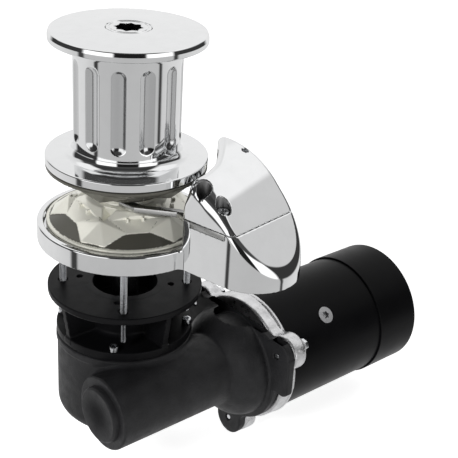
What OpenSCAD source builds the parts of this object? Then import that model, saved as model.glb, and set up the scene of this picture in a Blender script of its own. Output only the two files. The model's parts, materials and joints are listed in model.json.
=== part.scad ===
// Electric vertical anchor windlass.
// Origin: on the drum axis at the deck face under the base. +Z up, +X along the motor.
// All sizes are in millimetres.

/* [Base and deck studs] */
// Outer radius of the base ring
base_r = 76.5; // [76:0.1:77]
// Height of the base ring above the deck
base_ring_h = 17.5; // [15:0.5:18]
// Radius of the well that the gypsy turns in
base_well_r = 71; // [70:0.1:72]
// Thickness of the base floor
base_floor = 10; // [10:0.1:10.2]
// Radius of the four deck studs
stud_r = 3; // [3:0.1:3.2]
// Pitch radius of the deck studs
stud_pitch_r = 55; // [54:0.5:56]
// Lowest point of the deck studs
stud_low_z = -75.5; // [-76:0.5:-70]

/* [Chain hood] */
// Direction of the hood's centre line, in degrees from +X
hood_turn = -78.25; // [-82:0.25:-74]
// Distance of the hood's centre line from the drum axis
hood_side = 23.5; // [22:0.5:25]
// Half the width of the hood
hood_half_w = 39.5; // [38:0.5:41]
// Distance along the hood to the centre of its round end
hood_end = 120.4; // [118:0.2:122]
// Height of the hood's crest at its far side
hood_top_z = 92; // [90:0.5:94]
// Radius of the crest arc, seen from the side
hood_arc_r = 75; // [73:0.5:77]
// Place of the crest arc's centre along the hood
hood_arc_at = 58; // [56:0.5:60]
// Steepest slope of the hood top, in degrees
hood_slope = 47.3; // [46:0.1:48]
// Fall of the hood top towards its near side, in degrees
hood_tilt = 4; // [3:0.5:5]
// Radius of the notch that clears the drum
notch_r = 77; // [76.8:0.1:78]
// Height of the joint between base and cover
part_z = 46.5; // [46.3:0.1:46.6]

/* [Drum] */
// Radius of the drum's top flange
drum_top_r = 65; // [63:0.5:66]
// Radius of the drum's lower flange
drum_low_r = 68.7; // [68:0.1:69.5]
// Radius of the fluted barrel
barrel_r = 45; // [44:0.5:46]
// Number of flutes
flute_count = 12; // [10:1:14]
// Underside of the lower flange
drum_low_z = 71; // [71:0.1:71.4]
// Top of the rim of the upper flange
drum_rim_z = 183.8; // [183:0.1:184.5]

/* [Gypsy] */
// Height of the gypsy's middle plane
gypsy_z = 43; // [43:0.1:43.3]
// Radius of the gypsy rims
gypsy_r = 68.5; // [68:0.1:69]
// Number of chain pockets
pocket_count = 5; // [5:1:6]

/* [Shaft and clutch] */
// Radius of the main shaft
shaft_r = 12.5; // [12.4:0.1:12.6]
// Radius of the threaded top of the shaft
thread_r = 10; // [9.8:0.1:10]
// Outer radius of the clutch nut
nut_r = 18.5; // [18:0.1:18.6]
// Side of the squares that make the eight-point handle socket
socket_side = 17.5; // [17:0.1:17.6]

/* [Adapter] */
// Radius of the adapter's deck disc
adapter_r = 68.4; // [67:0.2:70]
// Radius of the adapter's gearbox ring
adapter_low_r = 61.1; // [60.5:0.1:61.5]
// Top of the deck disc
adapter_top_z = -45.3; // [-46:0.1:-45]
// Underside of the gearbox ring
adapter_low_z = -92; // [-92.2:0.1:-92]

/* [Gearbox] */
// Radius of the wheel housing
housing_r = 61.5; // [61.2:0.1:62]
// Lowest point of the housing
housing_low_z = -175; // [-176:0.5:-174]
// Distance of the worm from the main shaft
worm_offset = 58; // [58:0.1:58]
// Height of the worm axis
worm_z = -129.5; // [-129.6:0.1:-129.4]
// Radius of the worm tube
worm_tube_r = 33.4; // [33:0.1:34]
// Module of the worm gearing
gear_module = 2.5; // [2.5:0.1:2.5]
// Number of teeth on the worm wheel
wheel_teeth = 37; // [37:1:37]
// Face of the motor flange plate
plate_x = 82; // [82:0.1:82.4]

/* [Motor] */
// Outer radius of the motor tube
motor_r = 58.5; // [58:0.1:58.8]
// Outer radius of the rear sleeve
sleeve_r = 60.1; // [60:0.1:60.6]
// Front edge of the rear sleeve
sleeve_x = 222.7; // [221:0.1:224]
// Rear end of the motor
motor_end_x = 273.2; // [273:0.1:275]

/* [Hidden] */

$fn = 96;
e = 0.5;               // overlap between solids that are joined
run = 0.05;            // radial running clearance
far = 400;             // longer than any cut needs
chrome = "gainsboro";
nickel = "palegoldenrod";
cast_black = "#2c2c2e";
steel = "silver";
bronze = "peru";

// Hood in its own frame: s runs along it, t to its far side
hood_far = hood_side + hood_half_w;
hood_near = hood_side - hood_half_w;
hood_wall = 6;
near_wall = 18;        // thick near wall that takes the cover screws
cavity_half_w = hood_half_w - (hood_wall + near_wall) / 2;
cavity_side = hood_side + (near_wall - hood_wall) / 2;
hood_roof = 10;
notch_round = 9;
crest_z = hood_top_z - hood_arc_r;
slope_s = hood_arc_at + hood_arc_r * sin(hood_slope);
slope_z = crest_z + hood_arc_r * cos(hood_slope);
pipe_r = 25;
pipe_at = [108, 29.5];
hood_screw_at = [[91.5, -8.5], [109.5, -6.5]];
hood_seat_z = 56;
hood_screw_low = 26;
crest_at = [82, 56];

// Chain stripper
stripper_h = 5;
stripper_low_z = part_z - stripper_h;

// Gypsy half, measured down from the middle plane
rim_top = 24.8;
groove_half = 4;
hub_r = 26;
hub_step_r = 36;
bush_r = 18;
cone_wide_r = 33;
cone_narrow_r = 27;
cone_gap = 0.35;
lower_half_h = 30.5;
upper_half_h = 27.3;
cone_low_z = 12.6;
cone_top_z = 28;
gypsy_screw_r = 22;

// Drum
cove_r = 10;
drum_rim_h = 8;
crown_z = drum_rim_z + 2.2;
nut_seat_z = 158;
drum_edge = 1.5;
drum_lip_z = drum_low_z + 7.3;
drum_under_z = drum_rim_z - drum_rim_h;
waist_low_z = drum_lip_z + 1 + cove_r;
waist_top_z = drum_under_z - 1 - cove_r;
drum_web_z = nut_seat_z - 2;
drum_wall_r = 38;
shaft_top_z = 170.5;
shaft_low_z = -164;
thread_low_z = 150;
key_w = 6;
key_out = 2;
key_in = 3;
flute_r = 6;
flute_sink = 2.8;
flute_low_z = 98;
flute_top_z = 157;

// Adapter and gearbox
disc_h = 6;
disc_low_z = adapter_top_z - disc_h;
ring_h = 8;
tube_in = 28.6;
tube_out = 33;
rib_w = 6;
adapter_screw_r = 56.5;
stud_turn = -127;
stud_root_r = 2.9;     // threaded end in the base
stud_hole_r = 4.2;     // clear hole in the adapter
stud_relief = 0.1;     // clearance around the stud at the deck face
bearing_r = 26;
bearing_h = 15;
seal_h = 7;
chamber_r = 50.5;
chamber_low_z = -149.7;
bead_h = 7;
worm_y = -worm_offset;
worm_bore_r = 21;
tube_end_x = -64;
cap_r = 24.8;
cap_x = -69.5;
plate_h = 8;
lug_count = 3;
lug_pitch_r = 66.5;
lug_r = 17;
bell_r = 44;
bell_x = 58;           // start of the bell
bell_start_r = 40.2;
terminal_free = 10;    // length of a terminal stud beyond its nut
flange_x = plate_x + plate_h;
flange_h = 14;
tube_x = flange_x + flange_h;
bolt_boss_x = 111;

// Worm gearing
wheel_pitch_r = gear_module * wheel_teeth / 2;
worm_pitch_r = worm_offset - wheel_pitch_r;
lead = PI * gear_module;
wheel_h = 18;
wheel_turn = -360 * wheel_h * lead / (2 * PI * worm_pitch_r) / (2 * PI * wheel_pitch_r);
backlash = 0.55;
worm_half = 21;
worm_journal_r = 10;

// Motor
tube_in_r = 52.5;
motor_shaft_r = 8.5;
core_r = 34;
core_x = [122, 190];
pole_count = 4;
pole_turn = 45;
pole_in_r = 35;
pole_screw_x = 160;
commutator_r = 17;
brush_x = 210;
bracket_x = 226;
bracket_h = 12;
terminal_r = 4;
terminal_z = 14;
terminal_gap = 24;
terminal_end_x = motor_end_x + 19;

// ---- shared shapes ----

module ring(outer, inner, low, high) {
    translate([0, 0, low]) difference() {
        cylinder(r = outer, h = high - low);
        translate([0, 0, -e]) cylinder(r = inner, h = high - low + 2 * e);
    }
}

// Children drawn in a plane (y, z) about the worm axis and raised along +X from x
module along_x(x) {
    translate([x, worm_y, worm_z]) rotate([90, 0, 90]) children();
}

module x_ring(outer, inner, low, high) {
    along_x(low) ring(outer, inner, 0, high - low);
}

module round_about(count, radius, start = 0) {
    for (i = [0:count - 1])
        rotate(start + 360 * i / count) translate([radius, 0, 0]) children();
}

module hex(across, h) {
    cylinder(r = across / 2 / cos(30), h = h, $fn = 6);
}

// Socket head screw, seat at z = 0, shank downwards
module socket_screw(r, length, head_r, head_h) {
    difference() {
        union() {
            translate([0, 0, -length]) cylinder(r = r, h = length + e);
            cylinder(r = head_r, h = head_h);
        }
        translate([0, 0, head_h / 2]) hex(1.6 * r, head_h);
    }
}

function arc(cx, cy, r, from, to, steps) =
    [for (i = [0:steps]) let (a = from + (to - from) * i / steps) [cx + r * cos(a), cy + r * sin(a)]];

// ---- drum group ----

module clutch_nut() {
    color(chrome) difference() {
        translate([0, 0, nut_seat_z]) cylinder(r = nut_r, h = crown_z - nut_seat_z - 0.1);
        translate([0, 0, nut_seat_z - e]) cylinder(r = thread_r + run, h = far);
        for (turn = [0, 45])
            rotate(turn) translate([-socket_side / 2, -socket_side / 2, shaft_top_z + 1])
                cube([socket_side, socket_side, far]);
    }
}

module keyway(low, high) {
    translate([0, -key_w / 2 - run, low])
        cube([shaft_r + key_out + run, key_w + 2 * run, high - low]);
}

// The drum is cast in one. It is three nodes so that collision stays open around its waist.
module drum_low_flange() {
    color(chrome) rotate_extrude() polygon(concat(
        [[drum_wall_r, drum_low_z], [drum_low_r - drum_edge, drum_low_z],
            [drum_low_r, drum_low_z + drum_edge], [drum_low_r, drum_lip_z - drum_edge],
            [drum_low_r - drum_edge, drum_lip_z]],
        arc(barrel_r + cove_r, waist_low_z, cove_r, 270, 180, 8), [[drum_wall_r, waist_low_z]]));
}

module drum_barrel() {
    color(chrome) difference() {
        rotate_extrude() polygon([[shaft_r + run, drum_low_z], [22, drum_low_z], [22, drum_web_z],
            [drum_wall_r, drum_web_z], [drum_wall_r, waist_low_z], [barrel_r, waist_low_z],
            [barrel_r, waist_top_z], [nut_r + 0.3, waist_top_z], [nut_r + 0.3, nut_seat_z],
            [shaft_r + run, nut_seat_z]]);
        keyway(drum_low_z - e, nut_seat_z + e);
        round_about(flute_count, barrel_r + flute_r - flute_sink, 15) {
            translate([0, 0, flute_low_z]) cylinder(r = flute_r, h = flute_top_z - flute_low_z, $fn = 32);
            translate([0, 0, flute_low_z]) sphere(r = flute_r, $fn = 32);
            translate([0, 0, flute_top_z]) sphere(r = flute_r, $fn = 32);
        }
    }
}

module drum_head() {
    color(chrome) rotate_extrude() polygon(concat([[nut_r + 0.3, waist_top_z]],
        arc(barrel_r + cove_r, waist_top_z, cove_r, 180, 90, 8),
        [[drum_top_r - drum_edge, drum_under_z], [drum_top_r, drum_under_z + drum_edge],
            [drum_top_r, drum_rim_z - drum_edge], [drum_top_r - drum_edge, drum_rim_z],
            [nut_r + 8, crown_z], [nut_r + 0.3, crown_z]]));
}

module upper_clutch_cone() {
    color(bronze) difference() {
        rotate_extrude() polygon([[shaft_r + run, 58], [cone_narrow_r, 58], [cone_wide_r, 70.4],
            [cone_wide_r, drum_low_z], [shaft_r + run, drum_low_z]]);
        keyway(58 - e, drum_low_z + e);
    }
}

// ---- gypsy group ----

// Half gypsy with its middle plane at z = 0 and its outer face at z = -h
module gypsy_half(h) {
    depth = lower_half_h - 2.5;
    difference() {
        union() {
            rotate_extrude() polygon([[bush_r, -14.7], [cone_narrow_r + cone_gap, -14.7],
                [cone_wide_r + cone_gap, -h], [gypsy_r - 2, -h], [gypsy_r, -h + 1.2],
                [gypsy_r, -rim_top - 0.6], [gypsy_r - 0.6, -rim_top], [gypsy_r - 2.5, -rim_top],
                [hub_step_r, -groove_half - 1], [hub_step_r - 3, -groove_half],
                [hub_r, -groove_half], [hub_r, 0], [bush_r, 0]]);
            round_about(pocket_count, 0, 65) chain_tooth();
        }
        round_about(pocket_count, gypsy_screw_r, 29)
            translate([0, 0, -depth]) cylinder(r = 2, h = far);
    }
}

// One tooth between two pockets: nose towards the rim, flanks down to the pockets
module chain_tooth() {
    nose = [50, 0, -9.5];
    hull() {
        for (side = [-1, 1]) {
            rotate(side * 9.5) tooth_point([64.5, 0, -23.5]);
            rotate(side * 26) tooth_point([52, 0, -15.5]);
            rotate(side * 26) tooth_point([44, 0, -10.5]);
            rotate(side * 7) tooth_point([37, 0, -groove_half - 1.2]);
        }
        tooth_point(nose);
        tooth_point([40, 0, -14]);
    }
}

module tooth_point(at) {
    translate(at) cube(0.6, center = true);
}

module gypsy_lower() {
    color(nickel) translate([0, 0, gypsy_z]) gypsy_half(lower_half_h);
}

module gypsy_upper() {
    color(nickel) translate([0, 0, gypsy_z]) mirror([0, 0, 1]) gypsy_half(upper_half_h);
}

module gypsy_bush() {
    color(bronze) ring(bush_r, shaft_r + run, gypsy_z - 14.7, gypsy_z + 14.7);
}

module gypsy_screws() {
    color(steel) round_about(pocket_count, gypsy_screw_r, 29)
        translate([0, 0, gypsy_z - 12]) cylinder(r = 2, h = 24);
}

module lower_clutch_cone() {
    color(bronze) difference() {
        rotate_extrude() polygon([[shaft_r, 10.5], [cone_wide_r, 10.5], [cone_wide_r, cone_low_z],
            [cone_narrow_r, cone_top_z], [shaft_r, cone_top_z]]);
        translate([0, -key_w / 2, 0]) cube([shaft_r + key_out, key_w, far]);
    }
}

module key_block(low, high) {
    translate([shaft_r - key_in, -key_w / 2, low]) cube([key_in + key_out, key_w, high - low]);
}

module all_keys() {
    key_block(13, 27);
    key_block(80, 135);
    key_block(-147, -112);
}

module main_shaft() {
    color(steel) difference() {
        union() {
            translate([0, 0, shaft_low_z]) cylinder(r = shaft_r, h = thread_low_z - shaft_low_z);
            translate([0, 0, thread_low_z - e]) cylinder(r = thread_r, h = shaft_top_z - thread_low_z + e);
        }
        all_keys();
    }
}

module shaft_keys() {
    color("dimgray") all_keys();
}

// ---- base and hood ----

module in_hood() {
    rotate(hood_turn) children();
}

module hood_plan(half_w, side, start) {
    translate([hood_end, side]) circle(r = half_w);
    translate([start, side - half_w]) square([hood_end - start, 2 * half_w]);
}

// Side view of the hood, s to the right and z up, drawn below the crest arc by drop
module hood_side_view(drop) {
    r = hood_arc_r - drop;
    crest = arc(hood_arc_at, crest_z, r, 115, 90 - hood_slope, 24);
    foot = slope_s + 80;
    polygon(concat([[-20, -40]], [[-20, crest_z + r * sin(115)]], crest,
        [[foot, slope_z - drop * cos(hood_slope)
            - tan(hood_slope) * (foot - slope_s + drop * sin(hood_slope))],
            [foot, -200], [-20, -200]]));
}

// The space under the hood top, tilted about its far edge
module under_top(drop) {
    translate([0, hood_far, 0]) rotate([hood_tilt, 0, 0]) translate([0, 60, 0])
        rotate([90, 0, 0]) linear_extrude(200) hood_side_view(drop);
}

// The space below the joint between base and cover
module under_joint() {
    translate([-20, -100, -10]) cube([220, 220, part_z + 10]);
}

module hood_cavity() {
    intersection() {
        translate([0, 0, 8]) linear_extrude(120) hood_plan(cavity_half_w, cavity_side, 30);
        under_top(hood_roof);
    }
}

module hood_block() {
    difference() {
        intersection() {
            linear_extrude(120) hood_plan(hood_half_w, hood_side, 20);
            under_top(0);
        }
        drum_notch();
    }
}

// Room for the drum, with a rounded upper edge
module drum_notch() {
    flare_z = hood_top_z - 1 - notch_round;
    low = base_ring_h - 1;
    rotate_extrude() polygon(concat([[0, low], [notch_r, low]],
        arc(notch_r + notch_round, flare_z, notch_round, 180, 90, 8),
        [[notch_r + notch_round, far], [0, far]]));
}

module stripper_outline() {
    polygon([[16, -27], [33.5, -27.3], [64.5, -9.5], [80, -14.5], [84, hood_near], [119, hood_near],
        [119, -1], [80, -1], [62, -2.5], [36, -18.5], [20, -19.5]]);
}

// The base and the lower hood are cast in one, and kept as two nodes for their collision
module base() {
    color(chrome) difference() {
        cylinder(r = base_r, h = base_ring_h);
        translate([0, 0, base_floor]) cylinder(r = base_well_r, h = far);
        translate([0, 0, -e]) cylinder(r = 20, h = 20);
        round_about(4, stud_pitch_r, stud_turn) translate([0, 0, -e]) {
            cylinder(r = stud_root_r, h = 9 + e);
            cylinder(r = stud_r + stud_relief, h = 1);
        }
    }
}

module hood_base() {
    color(chrome) difference() {
        in_hood() intersection() {
            hood_block();
            under_joint();
        }
        translate([0, 0, -e]) cylinder(r = base_r, h = base_ring_h + 2);
        in_hood() hood_cavity();
        in_hood() translate([pipe_at[0], pipe_at[1], -e]) cylinder(r = pipe_r, h = 20);
        in_hood() for (at = hood_screw_at)
            translate([at[0], at[1], hood_screw_low]) cylinder(r = 3, h = far);
        in_hood() translate([0, 0, stripper_low_z]) linear_extrude(far) stripper_outline();
    }
}

module hood_cover() {
    color(chrome) in_hood() difference() {
        hood_block();
        under_joint();
        hood_cavity();
        for (at = hood_screw_at) {
            translate([at[0], at[1], hood_seat_z]) cylinder(r = 6, h = far);
            translate([at[0], at[1], 0]) cylinder(r = 3.3, h = far);
        }
        translate([crest_at[0], crest_at[1], 76]) cylinder(r = 3, h = far);
    }
}

module hood_screws() {
    color(steel) in_hood() {
        for (at = hood_screw_at)
            translate([at[0], at[1], hood_seat_z]) socket_screw(3, hood_seat_z - hood_screw_low, 5, 6);
        translate([crest_at[0], crest_at[1], 76]) difference() {
            cylinder(r = 3, h = 8);
            translate([0, 0, 5]) hex(3, 10);
        }
    }
}

module chain_stripper() {
    color(steel) in_hood() difference() {
        translate([0, 0, stripper_low_z]) linear_extrude(stripper_h) stripper_outline();
        for (at = hood_screw_at) translate([at[0], at[1], 0]) cylinder(r = 3, h = far);
    }
}

module base_bush() {
    color(bronze) ring(20, shaft_r + run, 4, 9.8);
}

module base_seal() {
    color("black") ring(20, shaft_r + run, 0, 4);
}

module deck_studs() {
    color(steel) round_about(4, stud_pitch_r, stud_turn) {
        translate([0, 0, stud_low_z]) cylinder(r = stud_r, h = -stud_low_z);
        translate([0, 0, -e]) cylinder(r = stud_root_r, h = 9 + e);
    }
}

// ---- adapter ----

module rib() {
    top = disc_low_z;
    low = adapter_low_z + ring_h;
    translate([0, rib_w / 2, 0]) rotate([90, 0, 0]) linear_extrude(rib_w)
        polygon([[30, low], [adapter_low_r - 1, low], [adapter_r - 3, top], [30, top]]);
}

// The adapter is cast in one: a deck disc, a gearbox ring with its tube, and four ribs
module adapter() {
    color(cast_black) difference() {
        translate([0, 0, disc_low_z]) cylinder(r = adapter_r, h = disc_h);
        translate([0, 0, -60]) cylinder(r = tube_in, h = 60);
        round_about(4, stud_pitch_r, stud_turn) translate([0, 0, -60]) cylinder(r = stud_hole_r, h = 60);
        round_about(4, 41, 45) translate([0, 0, -60]) cylinder(r = 2.7, h = 60);
    }
}

module adapter_ring() {
    hub_top = adapter_low_z + bearing_h + seal_h + 4;
    color(cast_black) difference() {
        union() {
            translate([0, 0, adapter_low_z]) cylinder(r = adapter_low_r, h = ring_h);
            translate([0, 0, adapter_low_z]) cylinder(r = tube_out, h = disc_low_z - adapter_low_z);
        }
        translate([0, 0, hub_top]) cylinder(r = tube_in, h = far);
        translate([0, 0, adapter_low_z - e]) cylinder(r = bearing_r, h = bearing_h + e);
        translate([0, 0, adapter_low_z]) cylinder(r = 20, h = bearing_h + seal_h);
        translate([0, 0, adapter_low_z]) cylinder(r = shaft_r + 2, h = far);
        round_about(4, adapter_screw_r, 45) translate([0, 0, -far]) cylinder(r = 2.6, h = far - 80);
    }
}

module adapter_ribs() {
    color(cast_black) round_about(4, 0) difference() {
        rib();
        cylinder(r = tube_out, h = 2 * far, center = true);
    }
}

module adapter_screws() {
    color(steel) round_about(4, adapter_screw_r, 45)
        translate([0, 0, adapter_low_z + ring_h]) socket_screw(2.5, 20, 4.25, 5);
}

module shaft_seal() {
    low = adapter_low_z + bearing_h;
    color("black") ring(20, shaft_r + run, low, low + seal_h);
}

module bearing(low, high, outer, inner) {
    mid = (outer + inner) / 2;
    wall = (outer - inner) / 4;
    rotate_extrude() polygon([[inner, low], [mid - wall, low], [mid - wall, low + 1], [mid + wall, low + 1],
        [mid + wall, low], [outer, low], [outer, high], [mid + wall, high], [mid + wall, high - 1],
        [mid - wall, high - 1], [mid - wall, high], [inner, high]]);
}

module upper_bearing() {
    color(steel) bearing(adapter_low_z, adapter_low_z + bearing_h, bearing_r, shaft_r + run);
}

module lower_bearing() {
    color(steel) bearing(chamber_low_z - bearing_h, chamber_low_z, bearing_r, shaft_r + run);
}

// ---- gearbox ----

module lug_plan(radius) {
    circle(r = radius);
    for (i = [0:lug_count - 1])
        rotate(-90 + 360 * i / lug_count) {
            translate([lug_pitch_r, 0]) circle(r = lug_r);
            translate([0, -lug_r]) square([lug_pitch_r, 2 * lug_r]);
        }
}

// Square tabs under the two upper lugs
module side_tabs() {
    for (side = [-1, 1])
        scale([side, 1]) polygon([[30, -4], [70.5, -4], [74.5, 0], [74.5, 36], [50, 44]]);
}

module wheel_housing() {
    round_r = 16;
    low = housing_low_z;
    rotate_extrude() polygon(concat([[0, adapter_low_z], [0, low]],
        arc(housing_r - 1 - round_r, low + round_r, round_r, 270, 360, 8),
        [[housing_r - 1, adapter_low_z - bead_h - 1], [housing_r, adapter_low_z - bead_h],
            [housing_r, adapter_low_z - 1.5], [housing_r - 1.5, adapter_low_z]]));
}

// The casting ends at bell_x, goes on as the bell and ends in the motor plate
module gearbox_housing() {
    color(cast_black) difference() {
        union() {
            wheel_housing();
            along_x(tube_end_x) cylinder(r = worm_tube_r, h = bell_x - tube_end_x);
            along_x(0) rotate_extrude() polygon([[0, 45], [worm_tube_r, 45], [worm_tube_r + 1, 52],
                [worm_tube_r + 4, 56], [bell_start_r, bell_x], [0, bell_x]]);
        }
        translate([0, 0, chamber_low_z]) cylinder(r = chamber_r, h = far);
        translate([0, 0, chamber_low_z - bearing_h]) cylinder(r = bearing_r, h = far);
        along_x(tube_end_x - e) cylinder(r = worm_bore_r, h = far);
        round_about(4, adapter_screw_r, 45) translate([0, 0, -106]) cylinder(r = 2.5, h = 20);
    }
}

module bell_housing() {
    color(cast_black) difference() {
        along_x(0) rotate_extrude() polygon([[worm_bore_r, bell_x], [bell_start_r, bell_x], [43, 60],
            [48, 66], [51, 75], [52.5, plate_x], [bell_r, plate_x], [bell_r, 66], [worm_bore_r, 66]]);
        wheel_housing();
    }
}

module housing_plate() {
    color(cast_black) difference() {
        along_x(plate_x) linear_extrude(plate_h) {
            lug_plan(motor_r);
            side_tabs();
        }
        along_x(plate_x - e) cylinder(r = bell_r, h = far);
        along_x(plate_x - e) round_about(lug_count, lug_pitch_r, -90) cylinder(r = 3, h = 20);
    }
}

module worm_end_cap() {
    color(cast_black) {
        along_x(cap_x) cylinder(r = cap_r, h = tube_end_x - cap_x);
        along_x(tube_end_x - e) cylinder(r = worm_bore_r, h = 5 + e);
    }
}

module wheel_hub() {
    color("slategray") difference() {
        union() {
            translate([0, 0, chamber_low_z + 0.2])
                cylinder(r = 18, h = adapter_low_z - chamber_low_z - 0.4);
            translate([0, 0, worm_z - wheel_h / 2]) cylinder(r = 38, h = wheel_h);
        }
        translate([0, 0, -far / 2]) cylinder(r = shaft_r, h = far);
        translate([0, -key_w / 2, -147]) cube([shaft_r + key_out, key_w, 35]);
    }
}

// Worm wheel outline: straight-sided teeth, thinned by the backlash
module wheel_outline() {
    root = wheel_pitch_r - 1.25 * gear_module;
    tip = wheel_pitch_r + 0.9 * gear_module;
    step = 360 / wheel_teeth;
    half = (lead / 2 - backlash) / 2;
    slope = tan(20);
    root_half = half + slope * (wheel_pitch_r - root);
    tip_half = half - slope * (tip - wheel_pitch_r);
    polygon([for (i = [0:wheel_teeth - 1], corner = [[root, -root_half], [tip, -tip_half],
        [tip, tip_half], [root, root_half]])
        let (a = -90 + i * step + corner[1] / corner[0] * 180 / PI) corner[0] * [cos(a), sin(a)]]);
}

module worm_wheel() {
    color(bronze) difference() {
        translate([0, 0, worm_z - wheel_h / 2]) rotate(wheel_turn / 2)
            linear_extrude(wheel_h, twist = wheel_turn, slices = 3)
                wheel_outline();
        translate([0, 0, worm_z - wheel_h]) cylinder(r = 38, h = 2 * wheel_h);
    }
}

// Radius of the worm at a place along its lead, 0 to 1, with the thread at 0.5
function worm_r_at(place) =
    let (across = abs(place - 0.5) * lead,
        half = (lead / 2 - backlash) / 2,
        rise = (half - across) / tan(20))
    worm_pitch_r + max(-1.2 * gear_module, min(0.95 * gear_module, rise));

module worm_section() {
    steps = 28;
    polygon([for (i = [0:steps - 1]) let (a = 360 * i / steps)
        worm_r_at((i / steps) % 1) * [cos(a), sin(a)]]);
}

module worm_shaft() {
    turns = 2 * worm_half / lead;
    color(steel) {
        along_x(-worm_half) rotate(-180 * turns)
            linear_extrude(2 * worm_half, twist = -360 * turns, slices = round(12 * turns)) worm_section();
        along_x(-58) cylinder(r = 8, h = 60);
        along_x(-58) cylinder(r = worm_journal_r, h = 14);
        along_x(0) cylinder(r = 8, h = 80);
        along_x(42) cylinder(r = worm_journal_r, h = 22);
    }
}

module worm_bearing_end() {
    color(steel) along_x(-58) bearing(0, 12, worm_bore_r, worm_journal_r + run);
}

module worm_bearing_drive() {
    color(steel) along_x(43) bearing(0, 12, worm_bore_r, worm_journal_r + run);
}

module worm_seal() {
    color("black") x_ring(worm_bore_r, worm_journal_r + run, 55.5, 61.5);
}

module drive_coupling() {
    color("slategray") along_x(68) difference() {
        cylinder(r = 15, h = 21);
        translate([0, 0, -e]) cylinder(r = 8, h = 12 + e);
        translate([0, 0, 12]) cylinder(r = motor_shaft_r, h = 20);
    }
}

// ---- motor ----

module motor_flange() {
    color("lightgray") difference() {
        union() {
            along_x(flange_x) linear_extrude(flange_h) lug_plan(motor_r + 1.5);
            along_x(flange_x) cylinder(r = 51.5, h = flange_h + 6);
            along_x(0) difference() {
                round_about(lug_count, lug_pitch_r, -90) translate([0, 0, flange_x])
                    cylinder(r = 9, h = bolt_boss_x - flange_x);
                translate([0, 0, tube_x]) cylinder(r = motor_r + 0.3, h = far);
            }
        }
        along_x(0) cylinder(r = 13, h = far);
        along_x(0) cylinder(r = 17.5, h = flange_x + 12);
        along_x(tube_x - 2) cylinder(r = 46, h = far);
        along_x(0) round_about(lug_count, lug_pitch_r, -90) cylinder(r = 3, h = far);
    }
}

module flange_bolts() {
    color(steel) along_x(plate_x + 1) round_about(lug_count, lug_pitch_r, -90) {
        cylinder(r = 3, h = bolt_boss_x - plate_x - 1);
        translate([0, 0, bolt_boss_x - plate_x - 1]) cylinder(r = 6.5, h = 1.2);
        translate([0, 0, bolt_boss_x - plate_x]) hex(10, 5.4);
    }
}

module front_motor_bearing() {
    color(steel) along_x(flange_x + 2) bearing(0, 10, 17.5, motor_shaft_r + run);
}

module rear_motor_bearing() {
    color(steel) along_x(bracket_x + 2) bearing(0, 10, 17.5, 7.5 + run);
}

module pole_cuts() {
    for (i = [0:pole_count - 1])
        rotate([0, 0, pole_turn + 360 * i / pole_count]) rotate([0, 90, 0]) children();
}

module motor_tube() {
    color("#1c1c1e") difference() {
        x_ring(motor_r, tube_in_r, tube_x, 240);
        along_x(pole_screw_x) pole_cuts() {
            translate([0, 0, 40]) cylinder(r = 4.1, h = 40);
            translate([0, 0, motor_r - 4.3]) cylinder(r1 = 4.1, r2 = 8.1, h = 4);
            translate([0, 0, motor_r - 0.35]) cylinder(r = 8.1, h = 5);
        }
    }
}

module rear_sleeve() {
    color("#1c1c1e") difference() {
        x_ring(sleeve_r, motor_r, sleeve_x, motor_end_x);
    }
    color("#1c1c1e") along_x(motor_end_x - 4) difference() {
        cylinder(r = motor_r + e, h = 4);
        for (i = [-1:1])
            translate([i * terminal_gap, terminal_z, -e]) cylinder(r = 8, h = 10);
    }
}

module rear_bracket() {
    color("lightgray") along_x(bracket_x) difference() {
        cylinder(r = tube_in_r, h = bracket_h);
        translate([0, 0, -e]) cylinder(r = 10, h = far);
        translate([0, 0, 2]) cylinder(r = 17.5, h = far);
        for (i = [-1:1])
            translate([i * terminal_gap, 30, -e]) cylinder(r = 6, h = far);
    }
}

module armature_shaft() {
    color(steel) {
        along_x(80.2) cylinder(r = motor_shaft_r, h = 140);
        along_x(220) cylinder(r = 7.5, h = 18);
    }
}

module armature_core() {
    color("dimgray") along_x(core_x[0]) difference() {
        cylinder(r = core_r, h = core_x[1] - core_x[0]);
        translate([0, 0, -e]) cylinder(r = motor_shaft_r, h = far);
        translate([0, 0, -e]) round_about(16, core_r - 3) cylinder(r = 2.2, h = far, $fn = 24);
    }
}

module armature_windings() {
    color("saddlebrown") {
        x_ring(core_r, 16, core_x[0] - 9, core_x[0]);
        x_ring(core_r, 16, core_x[1], core_x[1] + 8);
        along_x(core_x[0] - 2) round_about(16, core_r - 3)
            cylinder(r = 2.2, h = core_x[1] - core_x[0] + 4, $fn = 24);
    }
}

module commutator() {
    color(bronze) x_ring(commutator_r, motor_shaft_r, 200, 219);
}

// Sector of a ring, centred on the local X axis
module sector(outer, inner, half_angle, h) {
    reach = outer * 2;
    intersection() {
        ring(outer, inner, 0, h);
        linear_extrude(h) polygon([[0, 0], reach * [cos(half_angle), -sin(half_angle)], [reach, 0],
            reach * [cos(half_angle), sin(half_angle)]]);
    }
}

module pole_shoes() {
    length = core_x[1] - core_x[0];
    color("dimgray") difference() {
        along_x(core_x[0]) for (i = [0:pole_count - 1])
            rotate(pole_turn + 360 * i / pole_count) sector(tube_in_r, pole_in_r, 22, length);
        along_x(pole_screw_x) pole_cuts() translate([0, 0, 40]) cylinder(r = 4, h = 40);
    }
}

module field_coils() {
    length = core_x[1] - core_x[0];
    color("saddlebrown") along_x(core_x[0] - 5) for (i = [0:pole_count - 1])
        rotate(pole_turn + 360 * i / pole_count) difference() {
            sector(tube_in_r - 1, 41, 36, length + 10);
            translate([0, 0, 4.5]) sector(tube_in_r + 1, 38, 22.5, length + 1);
        }
}

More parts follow.
